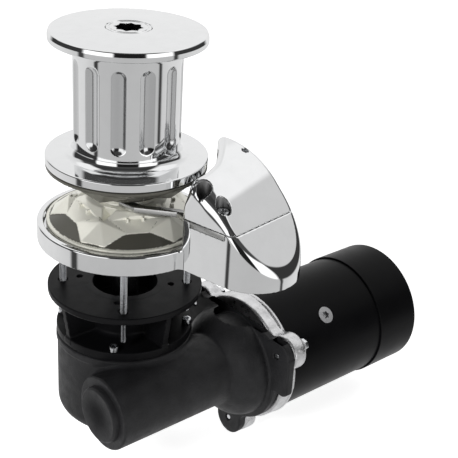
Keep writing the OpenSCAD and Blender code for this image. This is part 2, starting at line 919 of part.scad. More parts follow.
module pole_screws() {
    color(steel) along_x(pole_screw_x) pole_cuts() difference() {
        union() {
            translate([0, 0, 41]) cylinder(r = 4, h = motor_r - 41 - 4);
            translate([0, 0, motor_r - 4.3]) cylinder(r1 = 4, r2 = 8, h = 4);
        }
        translate([0, 0, motor_r - 3]) cylinder(r = 3, h = 4, $fn = 6);
    }
}

module brush_plate() {
    color("sienna") x_ring(tube_in_r, 20, 221, 224);
}

module brush_block(low, high, half_w, from_x, to_x) {
    along_x(from_x) for (i = [0:3])
        rotate(90 * i) translate([low, -half_w, 0]) cube([high - low, 2 * half_w, to_x - from_x]);
}

module brush_holders() {
    color("goldenrod") difference() {
        brush_block(20, 38, 6.5, 202, 221);
        brush_block(19, 39, 4.5, 204.5, 215.5);
    }
}

module brushes() {
    color("dimgray") brush_block(commutator_r + 0.3, 29, 4.5, 204.5, 215.5);
}

module brush_springs() {
    wire_r = 0.5;
    color(steel) along_x(brush_x) for (i = [0:3], k = [0:5])
        rotate(90 * i) translate([29.6 + 1.6 * k, 0, 0]) rotate([0, 90, 0])
            rotate_extrude($fn = 24) translate([3, 0]) circle(r = wire_r, $fn = 16);
}

module at_terminals() {
    for (i = [-1:1])
        translate([0, i * terminal_gap, terminal_z]) children();
}

module terminal_studs() {
    color("goldenrod") at_terminals() {
        along_x(motor_end_x - 8) cylinder(r = terminal_r - 0.2, h = terminal_end_x - motor_end_x);
        along_x(terminal_end_x - terminal_free) cylinder(r = terminal_r, h = terminal_free);
    }
}

module terminal_insulators() {
    color("maroon") at_terminals() {
        x_ring(8, terminal_r, motor_end_x - 4, motor_end_x);
        x_ring(10.5, terminal_r, motor_end_x, motor_end_x + 2);
    }
}

module terminal_nuts() {
    color(steel) at_terminals() along_x(motor_end_x + 2) difference() {
        hex(13, 6.5);
        translate([0, 0, -e]) cylinder(r = terminal_r, h = 10);
    }
}

clutch_nut();
drum_head();
drum_barrel();
drum_low_flange();
upper_clutch_cone();
gypsy_upper();
gypsy_lower();
gypsy_bush();
gypsy_screws();
lower_clutch_cone();
main_shaft();
shaft_keys();
base();
hood_base();
base_bush();
base_seal();
hood_cover();
hood_screws();
chain_stripper();
deck_studs();
adapter();
adapter_ring();
adapter_ribs();
adapter_screws();
shaft_seal();
upper_bearing();
lower_bearing();
gearbox_housing();
bell_housing();
housing_plate();
worm_end_cap();
wheel_hub();
worm_wheel();
worm_shaft();
worm_bearing_end();
worm_bearing_drive();
worm_seal();
drive_coupling();
motor_flange();
flange_bolts();
motor_tube();
rear_sleeve();
rear_bracket();
front_motor_bearing();
rear_motor_bearing();
armature_shaft();
armature_core();
armature_windings();
commutator();
pole_shoes();
field_coils();
pole_screws();
brush_plate();
brush_holders();
brushes();
brush_springs();
terminal_studs();
terminal_insulators();
terminal_nuts();
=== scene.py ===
"""Looks for an electric vertical anchor windlass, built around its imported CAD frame."""
import json
import math

import bmesh
import bpy
import numpy as np
from mathutils import Matrix, Vector

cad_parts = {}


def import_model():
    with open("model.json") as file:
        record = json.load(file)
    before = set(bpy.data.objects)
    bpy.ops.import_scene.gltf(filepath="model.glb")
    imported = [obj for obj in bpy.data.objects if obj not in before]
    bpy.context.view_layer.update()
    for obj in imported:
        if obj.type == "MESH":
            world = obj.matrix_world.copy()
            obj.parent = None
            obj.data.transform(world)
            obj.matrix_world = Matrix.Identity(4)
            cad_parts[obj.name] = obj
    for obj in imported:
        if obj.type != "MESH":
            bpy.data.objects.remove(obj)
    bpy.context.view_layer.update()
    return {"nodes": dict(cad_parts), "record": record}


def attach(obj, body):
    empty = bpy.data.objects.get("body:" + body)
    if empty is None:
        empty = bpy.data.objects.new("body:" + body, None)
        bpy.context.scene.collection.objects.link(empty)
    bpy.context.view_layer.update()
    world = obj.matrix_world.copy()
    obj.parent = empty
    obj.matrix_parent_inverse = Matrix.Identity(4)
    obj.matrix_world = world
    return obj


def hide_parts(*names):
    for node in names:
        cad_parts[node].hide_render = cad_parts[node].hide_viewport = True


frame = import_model()
nodes = frame["nodes"]
MM = 0.001

# ---------------------------------------------------------------- sizes, in mm
BARREL_R = 45.0                 # drum barrel between its flutes
FLUTES = 12
GYPSY_R = 68.5
MID_Z = 43.0                    # gypsy middle plane
BASE_R = 76.5
STUD_PITCH_R, STUD_TURN = 55.0, -127.0
CAP_PITCH_R = 56.5              # adapter screws, on the ring's diagonals
LUG_PITCH_R = 66.5              # three bolts around the worm axis
MOTOR_R = 58.5
POLE_SCREW_X, POLE_SCREW_TURN = 160.0, 45.0
TERMINAL_STEP, TERMINAL_RISE = 24.0, 14.0
HOOD_TURN = math.radians(-78.25)
HOOD_T = 23.5
HOOD_HALF = 39.5
HOOD_END = 120.4
JOINT_Z = 46.5
WORM_Y, WORM_Z = -58.0, -129.5
SCREW_ST = ((91.3, -9.0), (109.3, -6.5))
CREST_ST = (82.0, 56.0)
PIPE_ST = (108.0, 29.5)
HS, HC = math.sin(HOOD_TURN), math.cos(HOOD_TURN)
TILT = math.radians(4)
SLOPE = math.radians(47.3)


def hood_st(x, y):
    return x * HC + y * HS, -x * HS + y * HC


def st_hood(s, t):
    return s * HC - t * HS, s * HS + t * HC


# ---------------------------------------------------------------- implicit shapes
def join(a, b, r):
    """Union with a concave fillet of radius r."""
    return np.maximum(r, np.minimum(a, b)) - np.hypot(np.maximum(r - a, 0), np.maximum(r - b, 0))


def meet(a, b, r):
    """Intersection with a rounded edge of radius r."""
    return np.minimum(-r, np.maximum(a, b)) + np.hypot(np.maximum(r + a, 0), np.maximum(r + b, 0))


def cut(a, b, r):
    return meet(a, -b, r)


def slab(v, lo, hi):
    return np.maximum(lo - v, v - hi)


def step(v, lo, hi):
    t = np.clip((v - lo) / (hi - lo), 0, 1)
    return t * t * (3 - 2 * t)


def gradient(f, p, h):
    g = np.empty_like(p)
    for i in range(3):
        d = np.zeros(3)
        d[i] = h
        g[:, i] = (f(p + d) - f(p - d)) / (2 * h)
    return g


def newton(f, p, cell, rounds=4):
    for _ in range(rounds):
        v = f(p)
        g = gradient(f, p, cell * 0.04)
        n2 = np.maximum((g * g).sum(1), 0.05)
        move = -(v / n2)[:, None] * g
        size = np.linalg.norm(move, axis=1)
        move *= np.minimum(1, cell * 0.6 / np.maximum(size, 1e-9))[:, None]
        p = p + move
    return p


def surface(f, lo, hi, cell):
    """Vertices, quads and normals of f = 0 inside the box lo..hi, by sparse surface nets."""
    lo = np.array(lo, float)
    block = 6
    count = np.ceil((np.array(hi, float) - lo) / (cell * block)).astype(int)
    bi = np.stack(np.meshgrid(*[np.arange(c) for c in count], indexing="ij"), -1).reshape(-1, 3)
    mid = lo + (bi + 0.5) * block * cell
    near = np.abs(f(mid)) < block * cell * 0.87 * 1.25 + cell
    off = np.stack(np.meshgrid(*[np.arange(block)] * 3, indexing="ij"), -1).reshape(-1, 3)
    cells = (bi[near][:, None, :] * block + off[None]).reshape(-1, 3)
    size = count * block + 2

    def key(c):
        return (c[..., 0] * size[1] + c[..., 1]) * size[2] + c[..., 2]

    corner = np.array([[i, j, k] for i in (0, 1) for j in (0, 1) for k in (0, 1)])
    keys = key(cells[:, None, :] + corner[None])
    uniq, back = np.unique(keys.ravel(), return_inverse=True)
    grid = np.stack([uniq // (size[1] * size[2]), uniq // size[2] % size[1], uniq % size[2]], -1)
    value = np.empty(len(uniq))
    for a in range(0, len(uniq), 200000):
        value[a:a + 200000] = f(lo + grid[a:a + 200000] * cell)
    value = value[back].reshape(-1, 8)
    inside = value < 0
    mixed = inside.any(1) & ~inside.all(1)
    cells, value, inside = cells[mixed], value[mixed], inside[mixed]
    total = np.zeros((len(cells), 3))
    hits = np.zeros(len(cells))
    for a in range(8):
        for axis in range(3):
            b = a | (4 >> axis)
            if b == a:
                continue
            crosses = inside[:, a] != inside[:, b]
            va, vb = value[:, a], value[:, b]
            t = np.where(crosses, va / np.where(crosses, va - vb, 1), 0)
            point = corner[a] + t[:, None] * (corner[b] - corner[a])
            total += point * crosses[:, None]
            hits += crosses
    p = lo + (cells + total / np.maximum(hits, 1)[:, None]) * cell
    p = newton(f, p, cell)
    order = np.argsort(key(cells))
    sorted_keys = key(cells)[order]

    def find(c):
        k = key(c)
        at = np.clip(np.searchsorted(sorted_keys, k), 0, len(order) - 1)
        return np.where(sorted_keys[at] == k, order[at], -1)

    faces = []
    for axis in range(3):
        b, c = (axis + 1) % 3, (axis + 2) % 3
        eb, ec = np.eye(3, dtype=int)[b], np.eye(3, dtype=int)[c]
        s0, s1 = inside[:, 0], inside[:, 4 >> axis]
        pick = np.where(s0 != s1)[0]
        base = cells[pick]
        quad = np.stack([pick, find(base - eb), find(base - eb - ec), find(base - ec)], 1)
        good = (quad >= 0).all(1)
        quad, out = quad[good], s0[pick][good]
        quad = np.where(out[:, None], quad, quad[:, ::-1])
        faces.append(quad)
    g = gradient(f, p, cell * 0.05)
    return p, np.concatenate(faces), g / np.maximum(np.linalg.norm(g, axis=1), 1e-9)[:, None]


# ---------------------------------------------------------------- mesh objects
def new_object(name, verts, faces, normals=None, smooth_deg=None):
    """verts in mm; normals per vertex, or smooth_deg to shade smooth up to that angle."""
    mesh = bpy.data.meshes.new(name)
    mesh.from_pydata((np.asarray(verts, float) * MM).tolist(), [], [list(map(int, q)) for q in faces])
    mesh.validate()
    mesh.polygons.foreach_set("use_smooth", [True] * len(mesh.polygons))
    if normals is not None and len(normals) == len(mesh.vertices):
        mesh.normals_split_custom_set_from_vertices(np.asarray(normals, float).tolist())
    elif smooth_deg is not None:
        mesh.set_sharp_from_angle(angle=math.radians(smooth_deg))
    mesh.update()
    obj = bpy.data.objects.new(name, mesh)
    bpy.context.scene.collection.objects.link(obj)
    return obj


def shaded(name, mesh, smooth_deg):
    """Links a mesh as an object, shaded smooth up to an angle."""
    mesh.polygons.foreach_set("use_smooth", [True] * len(mesh.polygons))
    mesh.set_sharp_from_angle(angle=math.radians(smooth_deg))
    obj = bpy.data.objects.new(name, mesh)
    bpy.context.scene.collection.objects.link(obj)
    return obj


def implicit(name, f, lo, hi, cell):
    p, q, n = surface(f, lo, hi, cell)
    return new_object(name, p, q, normals=n)


def rounded(points, steps=5):
    """Closed (r, z) outline with rounded corners. Each point is (r, z, radius)."""
    out, normals = [], []
    n = len(points)
    for i in range(n):
        p0, p1, p2 = (np.array(points[(i + k) % n][:2], float) for k in (-1, 0, 1))
        radius = points[i][2] if len(points[i]) > 2 else 0.4
        a, b = p0 - p1, p2 - p1
        la, lb = np.linalg.norm(a), np.linalg.norm(b)
        a, b = a / la, b / lb
        turn = math.acos(max(-1, min(1, float(a @ b))))
        half = turn / 2
        reach = min(radius / math.tan(half), la * 0.499, lb * 0.499)
        radius = reach * math.tan(half)
        bis = (a + b) / np.linalg.norm(a + b)
        centre = p1 + bis * radius / math.sin(half)
        cross = a[0] * b[1] - a[1] * b[0]
        start = p1 + a * reach - centre
        sweep = math.pi - turn
        sign = 1 if cross < 0 else -1
        count = max(2, int(math.ceil(sweep / math.radians(90) * steps * (1 + radius / 6))) + 1)
        for k in range(count):
            ang = sign * sweep * k / (count - 1)
            c, s = math.cos(ang), math.sin(ang)
            d = np.array([start[0] * c - start[1] * s, start[0] * s + start[1] * c])
            out.append(centre + d)
            normals.append(d / max(radius, 1e-9) * (1 if cross < 0 else -1))
    return np.array(out), np.array(normals)


def place(axis, p):
    """Turns (a, b, along) into frame axes for a part on the z axis or on the worm axis."""
    if axis == "z":
        return p
    return np.stack([p[..., 2], p[..., 0], p[..., 1]], -1)


def ring_quads(rows, cols, closed):
    i = np.arange(rows if closed else rows - 1)[:, None]
    j = np.arange(cols)[None, :]
    a = i * cols + j
    b = i * cols + (j + 1) % cols
    up = ((i + 1) % rows) * cols
    return np.stack([a, b, up + (j + 1) % cols, up + j], -1).reshape(-1, 4)


def turned(name, points, segments=128, axis="z", at=(0, 0, 0), steps=5):
    """Solid of revolution with rounded edges, from an anticlockwise (r, z) outline."""
    p, n = rounded(points, steps)
    t = np.arange(segments) * 2 * math.pi / segments
    c, s = np.cos(t)[None, :], np.sin(t)[None, :]
    pos = np.stack([p[:, :1] * c, p[:, :1] * s, np.repeat(p[:, 1:], segments, 1)], -1)
    nor = np.stack([n[:, :1] * c, n[:, :1] * s, np.repeat(n[:, 1:], segments, 1)], -1)
    pos, nor = place(axis, pos), place(axis, nor)
    faces = ring_quads(len(p), segments, True)
    return new_object(name, pos.reshape(-1, 3) + np.array(at, float), faces, nor.reshape(-1, 3))


def ride(obj, body, slot_name, material, *replaced):
    obj.data.materials.clear()
    obj.data.materials.append(material)
    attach(obj, body)
    if replaced:
        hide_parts(*replaced)
    return obj


def merged(name, parts):
    """One object out of several that share a material."""
    bm = bmesh.new()
    for o in parts:
        bm.from_mesh(o.data)
    mesh = bpy.data.meshes.new(name)
    bm.to_mesh(mesh)
    bm.free()
    for o in parts:
        old = o.data
        bpy.data.objects.remove(o)
        bpy.data.meshes.remove(old)
    return shaded(name, mesh, 35)


def prism(name, outline, lo, hi, bevel, frame_of, segments=2):
    """Extruded outline with bevelled edges. frame_of maps (a, b, height) arrays to frame axes in mm."""
    n = len(outline)
    a = [(x, y, lo) for x, y in outline] + [(x, y, hi) for x, y in outline]
    p = frame_of(np.array(a, float))
    faces = [list(range(n))[::-1], list(range(n, 2 * n))]
    faces += [[i, (i + 1) % n, n + (i + 1) % n, n + i] for i in range(n)]
    mesh = bpy.data.meshes.new(name)
    mesh.from_pydata((p * MM).tolist(), [], faces)
    bm = bmesh.new()
    bm.from_mesh(mesh)
    bmesh.ops.recalc_face_normals(bm, faces=bm.faces)
    bmesh.ops.bevel(bm, geom=list(bm.edges), offset=bevel * MM, segments=segments, affect="EDGES",
                    profile=0.5)
    bm.to_mesh(mesh)
    bm.free()
    return shaded(name, mesh, 32)


# ---------------------------------------------------------------- materials
def calculator(nt):
    """Returns a function that adds a maths node to nt. Its arguments are numbers or sockets."""
    def calc(op, *args):
        n = nt.nodes.new("ShaderNodeMath")
        n.operation = op
        for socket, value in zip(n.inputs, args):
            if isinstance(value, (int, float)):
                socket.default_value = value
            else:
                nt.links.new(value, socket)
        return n.outputs[0]
    return calc


def mixer(nt):
    """Returns a function that adds a colour mix node to nt. Its two colours are tuples or sockets."""
    def mix(fac, one, two):
        n = nt.nodes.new("ShaderNodeMix")
        n.data_type = "RGBA"
        nt.links.new(fac, n.inputs[0])
        for socket, value in ((n.inputs[6], one), (n.inputs[7], two)):
            if isinstance(value, tuple):
                socket.default_value = (*value[:3], 1)
            else:
                nt.links.new(value, socket)
        return n.outputs[2]
    return mix


def material(name, colour, metallic, rough, rough_var=0.0, var_scale=60.0, tint=0.0,
             grain=0.0, grain_scale=900.0, wave=0.0, wave_scale=40.0, scuff=0.0,
             scuff_colour=(0.2, 0.2, 0.2), specular=0.5, brushed=None, brushed_amount=0.0,
             duller=(), dull=(0.035, 0.035, 0.036), dull_rough=0.4, shade_mark=None):
    """Procedural metal, paint or rubber. Bump heights are in mm, scales are per metre.
    Zones of painted shade are upright cylinders (x, y, radius, low, high) in mm. Inside them the colour
    is the shade colour, a painted shadow, and the shade roughness is added to the roughness.
    The shade mark names a mesh attribute that is 1 where painted shade goes."""
    m = bpy.data.materials.new(name)
    m.use_nodes = True
    nt = m.node_tree
    nt.nodes.clear()
    out = nt.nodes.new("ShaderNodeOutputMaterial")
    b = nt.nodes.new("ShaderNodeBsdfPrincipled")
    nt.links.new(b.outputs[0], out.inputs[0])
    b.inputs["Metallic"].default_value = metallic
    b.inputs["Roughness"].default_value = rough
    b.inputs["Specular IOR Level"].default_value = specular
    co = nt.nodes.new("ShaderNodeTexCoord").outputs["Object"]
    calc, mix = calculator(nt), mixer(nt)

    def noise(scale, detail=3.0, rough_=0.5, vector=None, distortion=0.0):
        n = nt.nodes.new("ShaderNodeTexNoise")
        n.inputs["Scale"].default_value = scale
        n.inputs["Detail"].default_value = detail
        n.inputs["Roughness"].default_value = rough_
        n.inputs["Distortion"].default_value = distortion
        nt.links.new(vector or co, n.inputs["Vector"])
        return n.outputs["Fac"]

    def spread(fac, lo, hi, a=0.3, z=0.7):
        r = nt.nodes.new("ShaderNodeMapRange")
        r.inputs["From Min"].default_value, r.inputs["From Max"].default_value = a, z
        r.inputs["To Min"].default_value, r.inputs["To Max"].default_value = lo, hi
        nt.links.new(fac, r.inputs["Value"])
        return r.outputs["Result"]

    soft = noise(var_scale, 4.0, 0.55)
    low = tuple(max(0.0, c * (1 - tint)) for c in colour)
    high = tuple(min(1.0, c * (1 + tint)) for c in colour)
    base = mix(spread(soft, 0, 1), low, high)
    rough_out = spread(noise(var_scale * 1.7, 5.0, 0.6), max(0.02, rough - rough_var),
                       rough + rough_var)
    if scuff:
        stretch = nt.nodes.new("ShaderNodeMapping")
        stretch.inputs["Rotation"].default_value = (0.5, 0.3, 0.7)
        stretch.inputs["Scale"].default_value = (1.0, 5.0, 1.4)
        nt.links.new(co, stretch.inputs["Vector"])
        marks = spread(noise(140.0, 6.0, 0.7, stretch.outputs[0], 0.6), 0, scuff, 0.66, 0.78)
        base = mix(marks, base, scuff_colour)
    # Painted shade: the marked places and the zones below take the darker shade colour and extra roughness.
    inside = None
    if shade_mark:
        mark = nt.nodes.new("ShaderNodeAttribute")
        mark.attribute_name = shade_mark
        inside = mark.outputs["Fac"]
    if duller:
        spot = nt.nodes.new("ShaderNodeSeparateXYZ")
        nt.links.new(co, spot.inputs[0])
        for x, y, radius, low_z, high_z in duller:
            away = calc("POWER", calc("SUBTRACT", spot.outputs[0], x * MM), 2.0)
            away = calc("ADD", away, calc("POWER", calc("SUBTRACT", spot.outputs[1], y * MM), 2.0))
            hit = calc("LESS_THAN", away, (radius * MM) ** 2)
            hit = calc("MULTIPLY", hit, calc("LESS_THAN", spot.outputs[2], high_z * MM))
            hit = calc("MULTIPLY", hit, calc("GREATER_THAN", spot.outputs[2], low_z * MM))
            inside = hit if inside is None else calc("MAXIMUM", inside, hit)
    if inside is not None:
        base = mix(inside, base, dull)
        rough_out = calc("ADD", rough_out, calc("MULTIPLY", inside, dull_rough))
    nt.links.new(base, b.inputs["Base Color"])
    nt.links.new(rough_out, b.inputs["Roughness"])
    normal = None
    for amount, scale, detail in ((wave, wave_scale, 1.5), (grain, grain_scale, 3.0)):
        if amount:
            bump = nt.nodes.new("ShaderNodeBump")
            bump.inputs["Strength"].default_value = 1.0
            bump.inputs["Distance"].default_value = amount * MM
            nt.links.new(noise(scale, detail, 0.5), bump.inputs["Height"])
            if normal:
                nt.links.new(normal, bump.inputs["Normal"])
            normal = bump.outputs[0]
    if brushed:
        lines = nt.nodes.new("ShaderNodeMapping")
        lines.inputs["Scale"].default_value = brushed
        nt.links.new(co, lines.inputs["Vector"])
        bump = nt.nodes.new("ShaderNodeBump")
        bump.inputs["Distance"].default_value = brushed_amount * MM
        nt.links.new(noise(1.0, 2.0, 0.5, lines.outputs[0]), bump.inputs["Height"])
        if normal:
            nt.links.new(normal, bump.inputs["Normal"])
        normal = bump.outputs[0]
    if normal:
        nt.links.new(normal, b.inputs["Normal"])
    return m


def chrome(name, rough=0.045, wave=0.012, **more):
    return material(name, (0.87, 0.875, 0.88), 1.0, rough, 0.018, 70, 0.02, wave=wave,
                    wave_scale=45, **more)


CHROME = chrome("polished_chrome")
# Painted shade: the flute hollows of the barrel are coloured darker; they also get a little more roughness.
DRUM_CHROME = chrome("drum_chrome", 0.05, duller=((0, 0, BARREL_R - 0.25, 90, 167),),
                     dull=(0.66, 0.665, 0.67), dull_rough=0.1)
# Painted shade: the inside of the clutch nut's square socket is coloured near black, and made rougher.
NUT_CHROME = chrome("nut_chrome", wave=0.0, duller=((0, 0, 13.2, 150, 185.3),))
# Painted shade: the counterbores round the two hood screws are coloured darker, and made rougher.
HOOD_CHROME = chrome("hood_chrome", duller=[(*st_hood(s, t), 6.2, 40, 99) for s, t in SCREW_ST],
                     dull=(0.4, 0.4, 0.4))
# Painted shade: the gypsy's dish and its whole upper half, in the drum flange's shadow, are coloured near
# black.
NICKEL = material("satin_nickel", (0.93, 0.92, 0.83), 0.5, 0.3, 0.02, 60, 0.02,
                  shade_mark="painted_shade", dull=(0.10, 0.097, 0.082), dull_rough=0.0)
BRONZE = material("clutch_bronze", (0.72, 0.50, 0.26), 1.0, 0.32, 0.08, 120, 0.08, brushed=(80, 80, 4000),
                  brushed_amount=0.01)
STEEL = material("bright_steel", (0.66, 0.67, 0.69), 1.0, 0.2, 0.06, 150, 0.05, brushed=(60, 60, 5000),
                 brushed_amount=0.006)
BAR = material("stripper_steel", (0.60, 0.60, 0.59), 1.0, 0.3, 0.06, 120, 0.06, grain=0.02, grain_scale=1200)
CAST = material("black_casting", (0.012, 0.012, 0.013), 0.0, 0.5, 0.1, 60, 0.25, grain=0.22, grain_scale=750,
                wave=0.25, wave_scale=60, scuff=0.4, scuff_colour=(0.05, 0.05, 0.053), specular=0.3)
ANODISED = material("black_anodised", (0.004, 0.004, 0.0045), 0.0, 0.4, 0.06, 50, 0.15, grain=0.05,
                    grain_scale=1400, specular=0.12)
MOTOR = material("motor_black", (0.003, 0.003, 0.0035), 0.0, 0.34, 0.04, 40, 0.1, grain=0.02, grain_scale=600,
                 specular=0.08)
RAW = material("raw_casting", (0.74, 0.74, 0.75), 1.0, 0.34, 0.12, 90, 0.12, grain=0.25, grain_scale=420,
               wave=0.5, wave_scale=70)
ZINC = material("bright_zinc", (0.80, 0.81, 0.83), 1.0, 0.22, 0.06, 200, 0.05, grain=0.02, grain_scale=1800)
SCREW_ZINC = material("screw_zinc", (0.42, 0.42, 0.43), 1.0, 0.3, 0.06, 200, 0.05, grain=0.02,
                      grain_scale=1800)
RUBBER = material("seal_rubber", (0.012, 0.012, 0.012), 0.0, 0.7, 0.05, 80, 0.2, grain=0.03, grain_scale=1200)
IRON = material("core_iron", (0.20, 0.20, 0.21), 1.0, 0.5, 0.08, 90, 0.1, brushed=(2500, 30, 30),
                brushed_amount=0.05)
GEAR = material("gear_steel", (0.50, 0.51, 0.53), 1.0, 0.28, 0.06, 150, 0.06, grain=0.02, grain_scale=900)
COPPER = material("winding", (0.42, 0.17, 0.07), 0.6, 0.35, 0.08, 200, 0.15, brushed=(2600, 200, 200),
                  brushed_amount=0.12)
CARBON = material("carbon", (0.035, 0.035, 0.037), 0.1, 0.55, 0.06, 200, 0.2, grain=0.03, grain_scale=1500)
INSULATOR = material("insulator", (0.20, 0.05, 0.03), 0.0, 0.45, 0.06, 150, 0.12, grain=0.02, grain_scale=900)
BY_SLOT = {"polished_chrome": CHROME, "satin_nickel": NICKEL, "clutch_bronze": BRONZE, "steel": STEEL,
           "black_casting": CAST, "black_anodised": ANODISED, "motor_black": MOTOR, "raw_casting": RAW,
           "gear_steel": GEAR, "core_iron": IRON, "winding": COPPER, "carbon": CARBON,
           "insulator": INSULATOR, "seal_rubber": RUBBER, "bright_zinc": ZINC}
for row in frame["record"]["subparts"]:
    data = nodes[row["node"]].data
    data.materials.clear()
    data.materials.append(BY_SLOT[row["material_slot"]])


# ---------------------------------------------------------------- drum and nut
def flute_radius(theta, z):
    """Barrel radius with round-ended flutes, their edges softened over a distance."""
    radius, sink, soften = 8.0, 2.7, 1.8
    low_z, high_z = 99, 156.5
    pitch = 2 * math.pi / FLUTES
    local = (theta - math.radians(15) + pitch / 2) % pitch - pitch / 2
    rho = np.hypot(BARREL_R * local, z - np.clip(z, low_z, high_z))
    hollow = BARREL_R + radius - sink - np.sqrt(np.maximum(radius ** 2 - rho ** 2, 0))
    hollow = np.where(rho < radius, hollow, BARREL_R + radius)
    h = np.clip(0.5 + 0.5 * (hollow - BARREL_R) / soften, 0, 1)
    return hollow * (1 - h) + BARREL_R * h - soften * h * (1 - h)


def drum():
    outline = [(12.55, 71, 0.4), (22, 71, 0.4), (22, 150, 0.5), (38, 150, 0.5), (38, 71, 0.5),
               (68.7, 71, 0.7), (68.7, 78.3, 1.2), (BARREL_R, 78.9, 8), (BARREL_R, 175.2, 8),
               (65, 175.9, 1.2), (65, 180.4, 0.6), (64.1, 183.8, 1.1), (27, 186.0, 10),
               (19.4, 186.0, 0.7), (18.8, 185.2, 0.3), (18.8, 158, 0.4), (12.55, 158, 0.4)]
    p, n = rounded(outline, 7)
    row_step = 0.9
    on_barrel = [i for i in range(len(p)) if abs(p[i][0] - BARREL_R) < 0.001 and 84 < p[i][1] < 170]
    first, last = min(on_barrel), max(on_barrel)
    zs = np.arange(p[first][1], p[last][1], row_step)[1:]
    extra = np.stack([np.full(len(zs), BARREL_R), zs], 1)
    p = np.concatenate([p[:first + 1], extra, p[last:]])
    n = np.concatenate([n[:first + 1], np.tile([1.0, 0.0], (len(zs), 1)), n[last:]])
    count = 540
    t = np.arange(count) * 2 * math.pi / count
    r = np.repeat(p[:, :1], count, 1)
    z = np.repeat(p[:, 1:], count, 1)
    theta = np.repeat(t[None, :], len(p), 0)
    outer = (np.abs(r - BARREL_R) < 0.01) & (z > 80) & (z < 175)
    wide = np.where(outer, flute_radius(theta, z), r)
    h = 0.05
    turn = h / BARREL_R
    dt = (flute_radius(theta + turn, z) - flute_radius(theta - turn, z)) / (2 * h)
    dz = (flute_radius(theta, z + h) - flute_radius(theta, z - h)) / (2 * h)
    c, s = np.cos(theta), np.sin(theta)
    pos = np.stack([wide * c, wide * s, z], -1)
    base = np.stack([n[:, :1] * c, n[:, :1] * s, np.repeat(n[:, 1:], count, 1)], -1)
    bent = np.stack([c + dt * s, s - dt * c, -dz], -1)
    bent /= np.linalg.norm(bent, axis=-1)[..., None]
    nor = np.where(outer[..., None], bent, base)
    return new_object("drum_shell", pos.reshape(-1, 3), ring_quads(len(p), count, True), nor.reshape(-1, 3))


def clutch_nut():
    def f(p):
        x, y, z = p[:, 0], p[:, 1], p[:, 2]
        r = np.hypot(x, y)
        body = meet(r - 18.5, slab(z, 158, 185.9), 0.7)
        square = np.minimum(np.maximum(np.abs(x), np.abs(y)),
                            np.maximum(np.abs(x + y), np.abs(x - y)) * 0.70711) - 8.75
        socket = np.maximum(square, 171.5 - z)
        hole = np.minimum(socket, np.maximum(r - 10.05, 158.0 - z))
        groove = np.hypot(r - 16.0, z - 185.9) - 0.6
        return cut(cut(body, hole, 0.3), groove, 0.2)
    return implicit("clutch_nut_star", f, (-19.5, -19.5, 157), (19.5, 19.5, 187), 0.6)


# ---------------------------------------------------------------- gypsy
SECTOR = 2 * math.pi / 5
TOOTH_AT = math.radians(-151)


def plane(a, b, c, inside):
    a, b, c = (np.array(q, float) for q in (a, b, c))
    n = np.cross(b - a, c - a)
    n /= np.linalg.norm(n)
    if (np.array(inside, float) - a) @ n > 0:
        n = -n
    return n, float(n @ a)


def polar(r, deg, z):
    return (r * math.cos(math.radians(deg)), r * math.sin(math.radians(deg)), z)


def tooth_planes():
    apex, low = (50, 0, 34.6), (46, 0, 20)
    b, c, d = polar(65, 9.5, 20.3), polar(44, 8, 33.4), polar(53, 26.4, 27.6)
    down = (0, 0, -12)

    def below(q):
        return tuple(np.array(q) + np.array(down))
    mirrored = (b[0], -b[1], b[2])
    return [plane(apex, b, mirrored, low), plane(apex, b, d, low), plane(apex, d, c, low),
            plane(b, below(b), d, low), plane(d, below(d), c, low), plane(b, below(b), mirrored, low)]


TOOTH = tooth_planes()


def pocket_plan(u, v):
    """Distance outside a pocket floor's four-sided outline, u along its middle and v across it."""
    return np.maximum((v - 20.66 + (u - 38.85) * 0.8815) * 0.75, u - 52.26)


def gypsy_body(x, y, z, bottom):
    """Lower half of the gypsy, from its outer face at z = bottom up to the middle plane."""
    r = np.hypot(x, y)
    theta = np.arctan2(y, x)
    a = (theta - TOOTH_AT + SECTOR / 2) % SECTOR - SECTOR / 2
    g = (theta - TOOTH_AT) % SECTOR - SECTOR / 2
    u, v = r * np.cos(a), np.abs(r * np.sin(a))
    u2, v2 = r * np.cos(g), np.abs(r * np.sin(g))
    cone = ((r - 36) * 0.66 + (z - 38.2)) / 1.198
    body = meet(meet(cone, z - 39.0, 0.6), r - GYPSY_R, 0.8)
    lip = meet(slab(r, 65.4, GYPSY_R), z - 18.8, 0.6)
    body = join(body, lip, 1.0)
    floor = z - (33.4 - 0.4325 * (u2 - 38.85))
    body = cut(body, meet(-floor * 0.918, 38.6 - u2, 0.2), 0.35)
    pad = meet(meet(floor * 0.918, pocket_plan(u2, v2), 0.35), 37 - u2, 0.3)
    body = join(body, pad, 0.2)
    tooth = np.full(len(r), -99.0)
    for n, k in TOOTH:
        tooth = meet(tooth, n[0] * u + n[1] * v + n[2] * z - k, 0.35)
    tooth = meet(tooth, 41.5 - u, 0.35)
    body = join(body, tooth, 0.35)
    fin = meet(meet(np.abs(v2 - 6.6) - 0.85, slab(u2, 38.0, 41.8), 0.3), z - 35.6, 0.3)
    body = join(body, fin, 0.25)
    vee = meet((31.2 + 1.25 * v - z) * 0.62, u - 48.6 + (z - 31.2) * 0.35, 0.3)
    body = cut(body, meet(vee, 30.5 - u, 0.2), 0.35)
    hub = meet(r - 26, z - (MID_Z - 0.05), 0.4)
    body = join(body, hub, 1.2)
    body = meet(meet(body, r - GYPSY_R, 0.7), bottom - z, 0.9)
    bore = np.minimum(r - 18, np.maximum((r - 33.35) * 0.93 + (z - 12.5) * 0.36, z - 28.3))
    return cut(body, bore, 0.3)


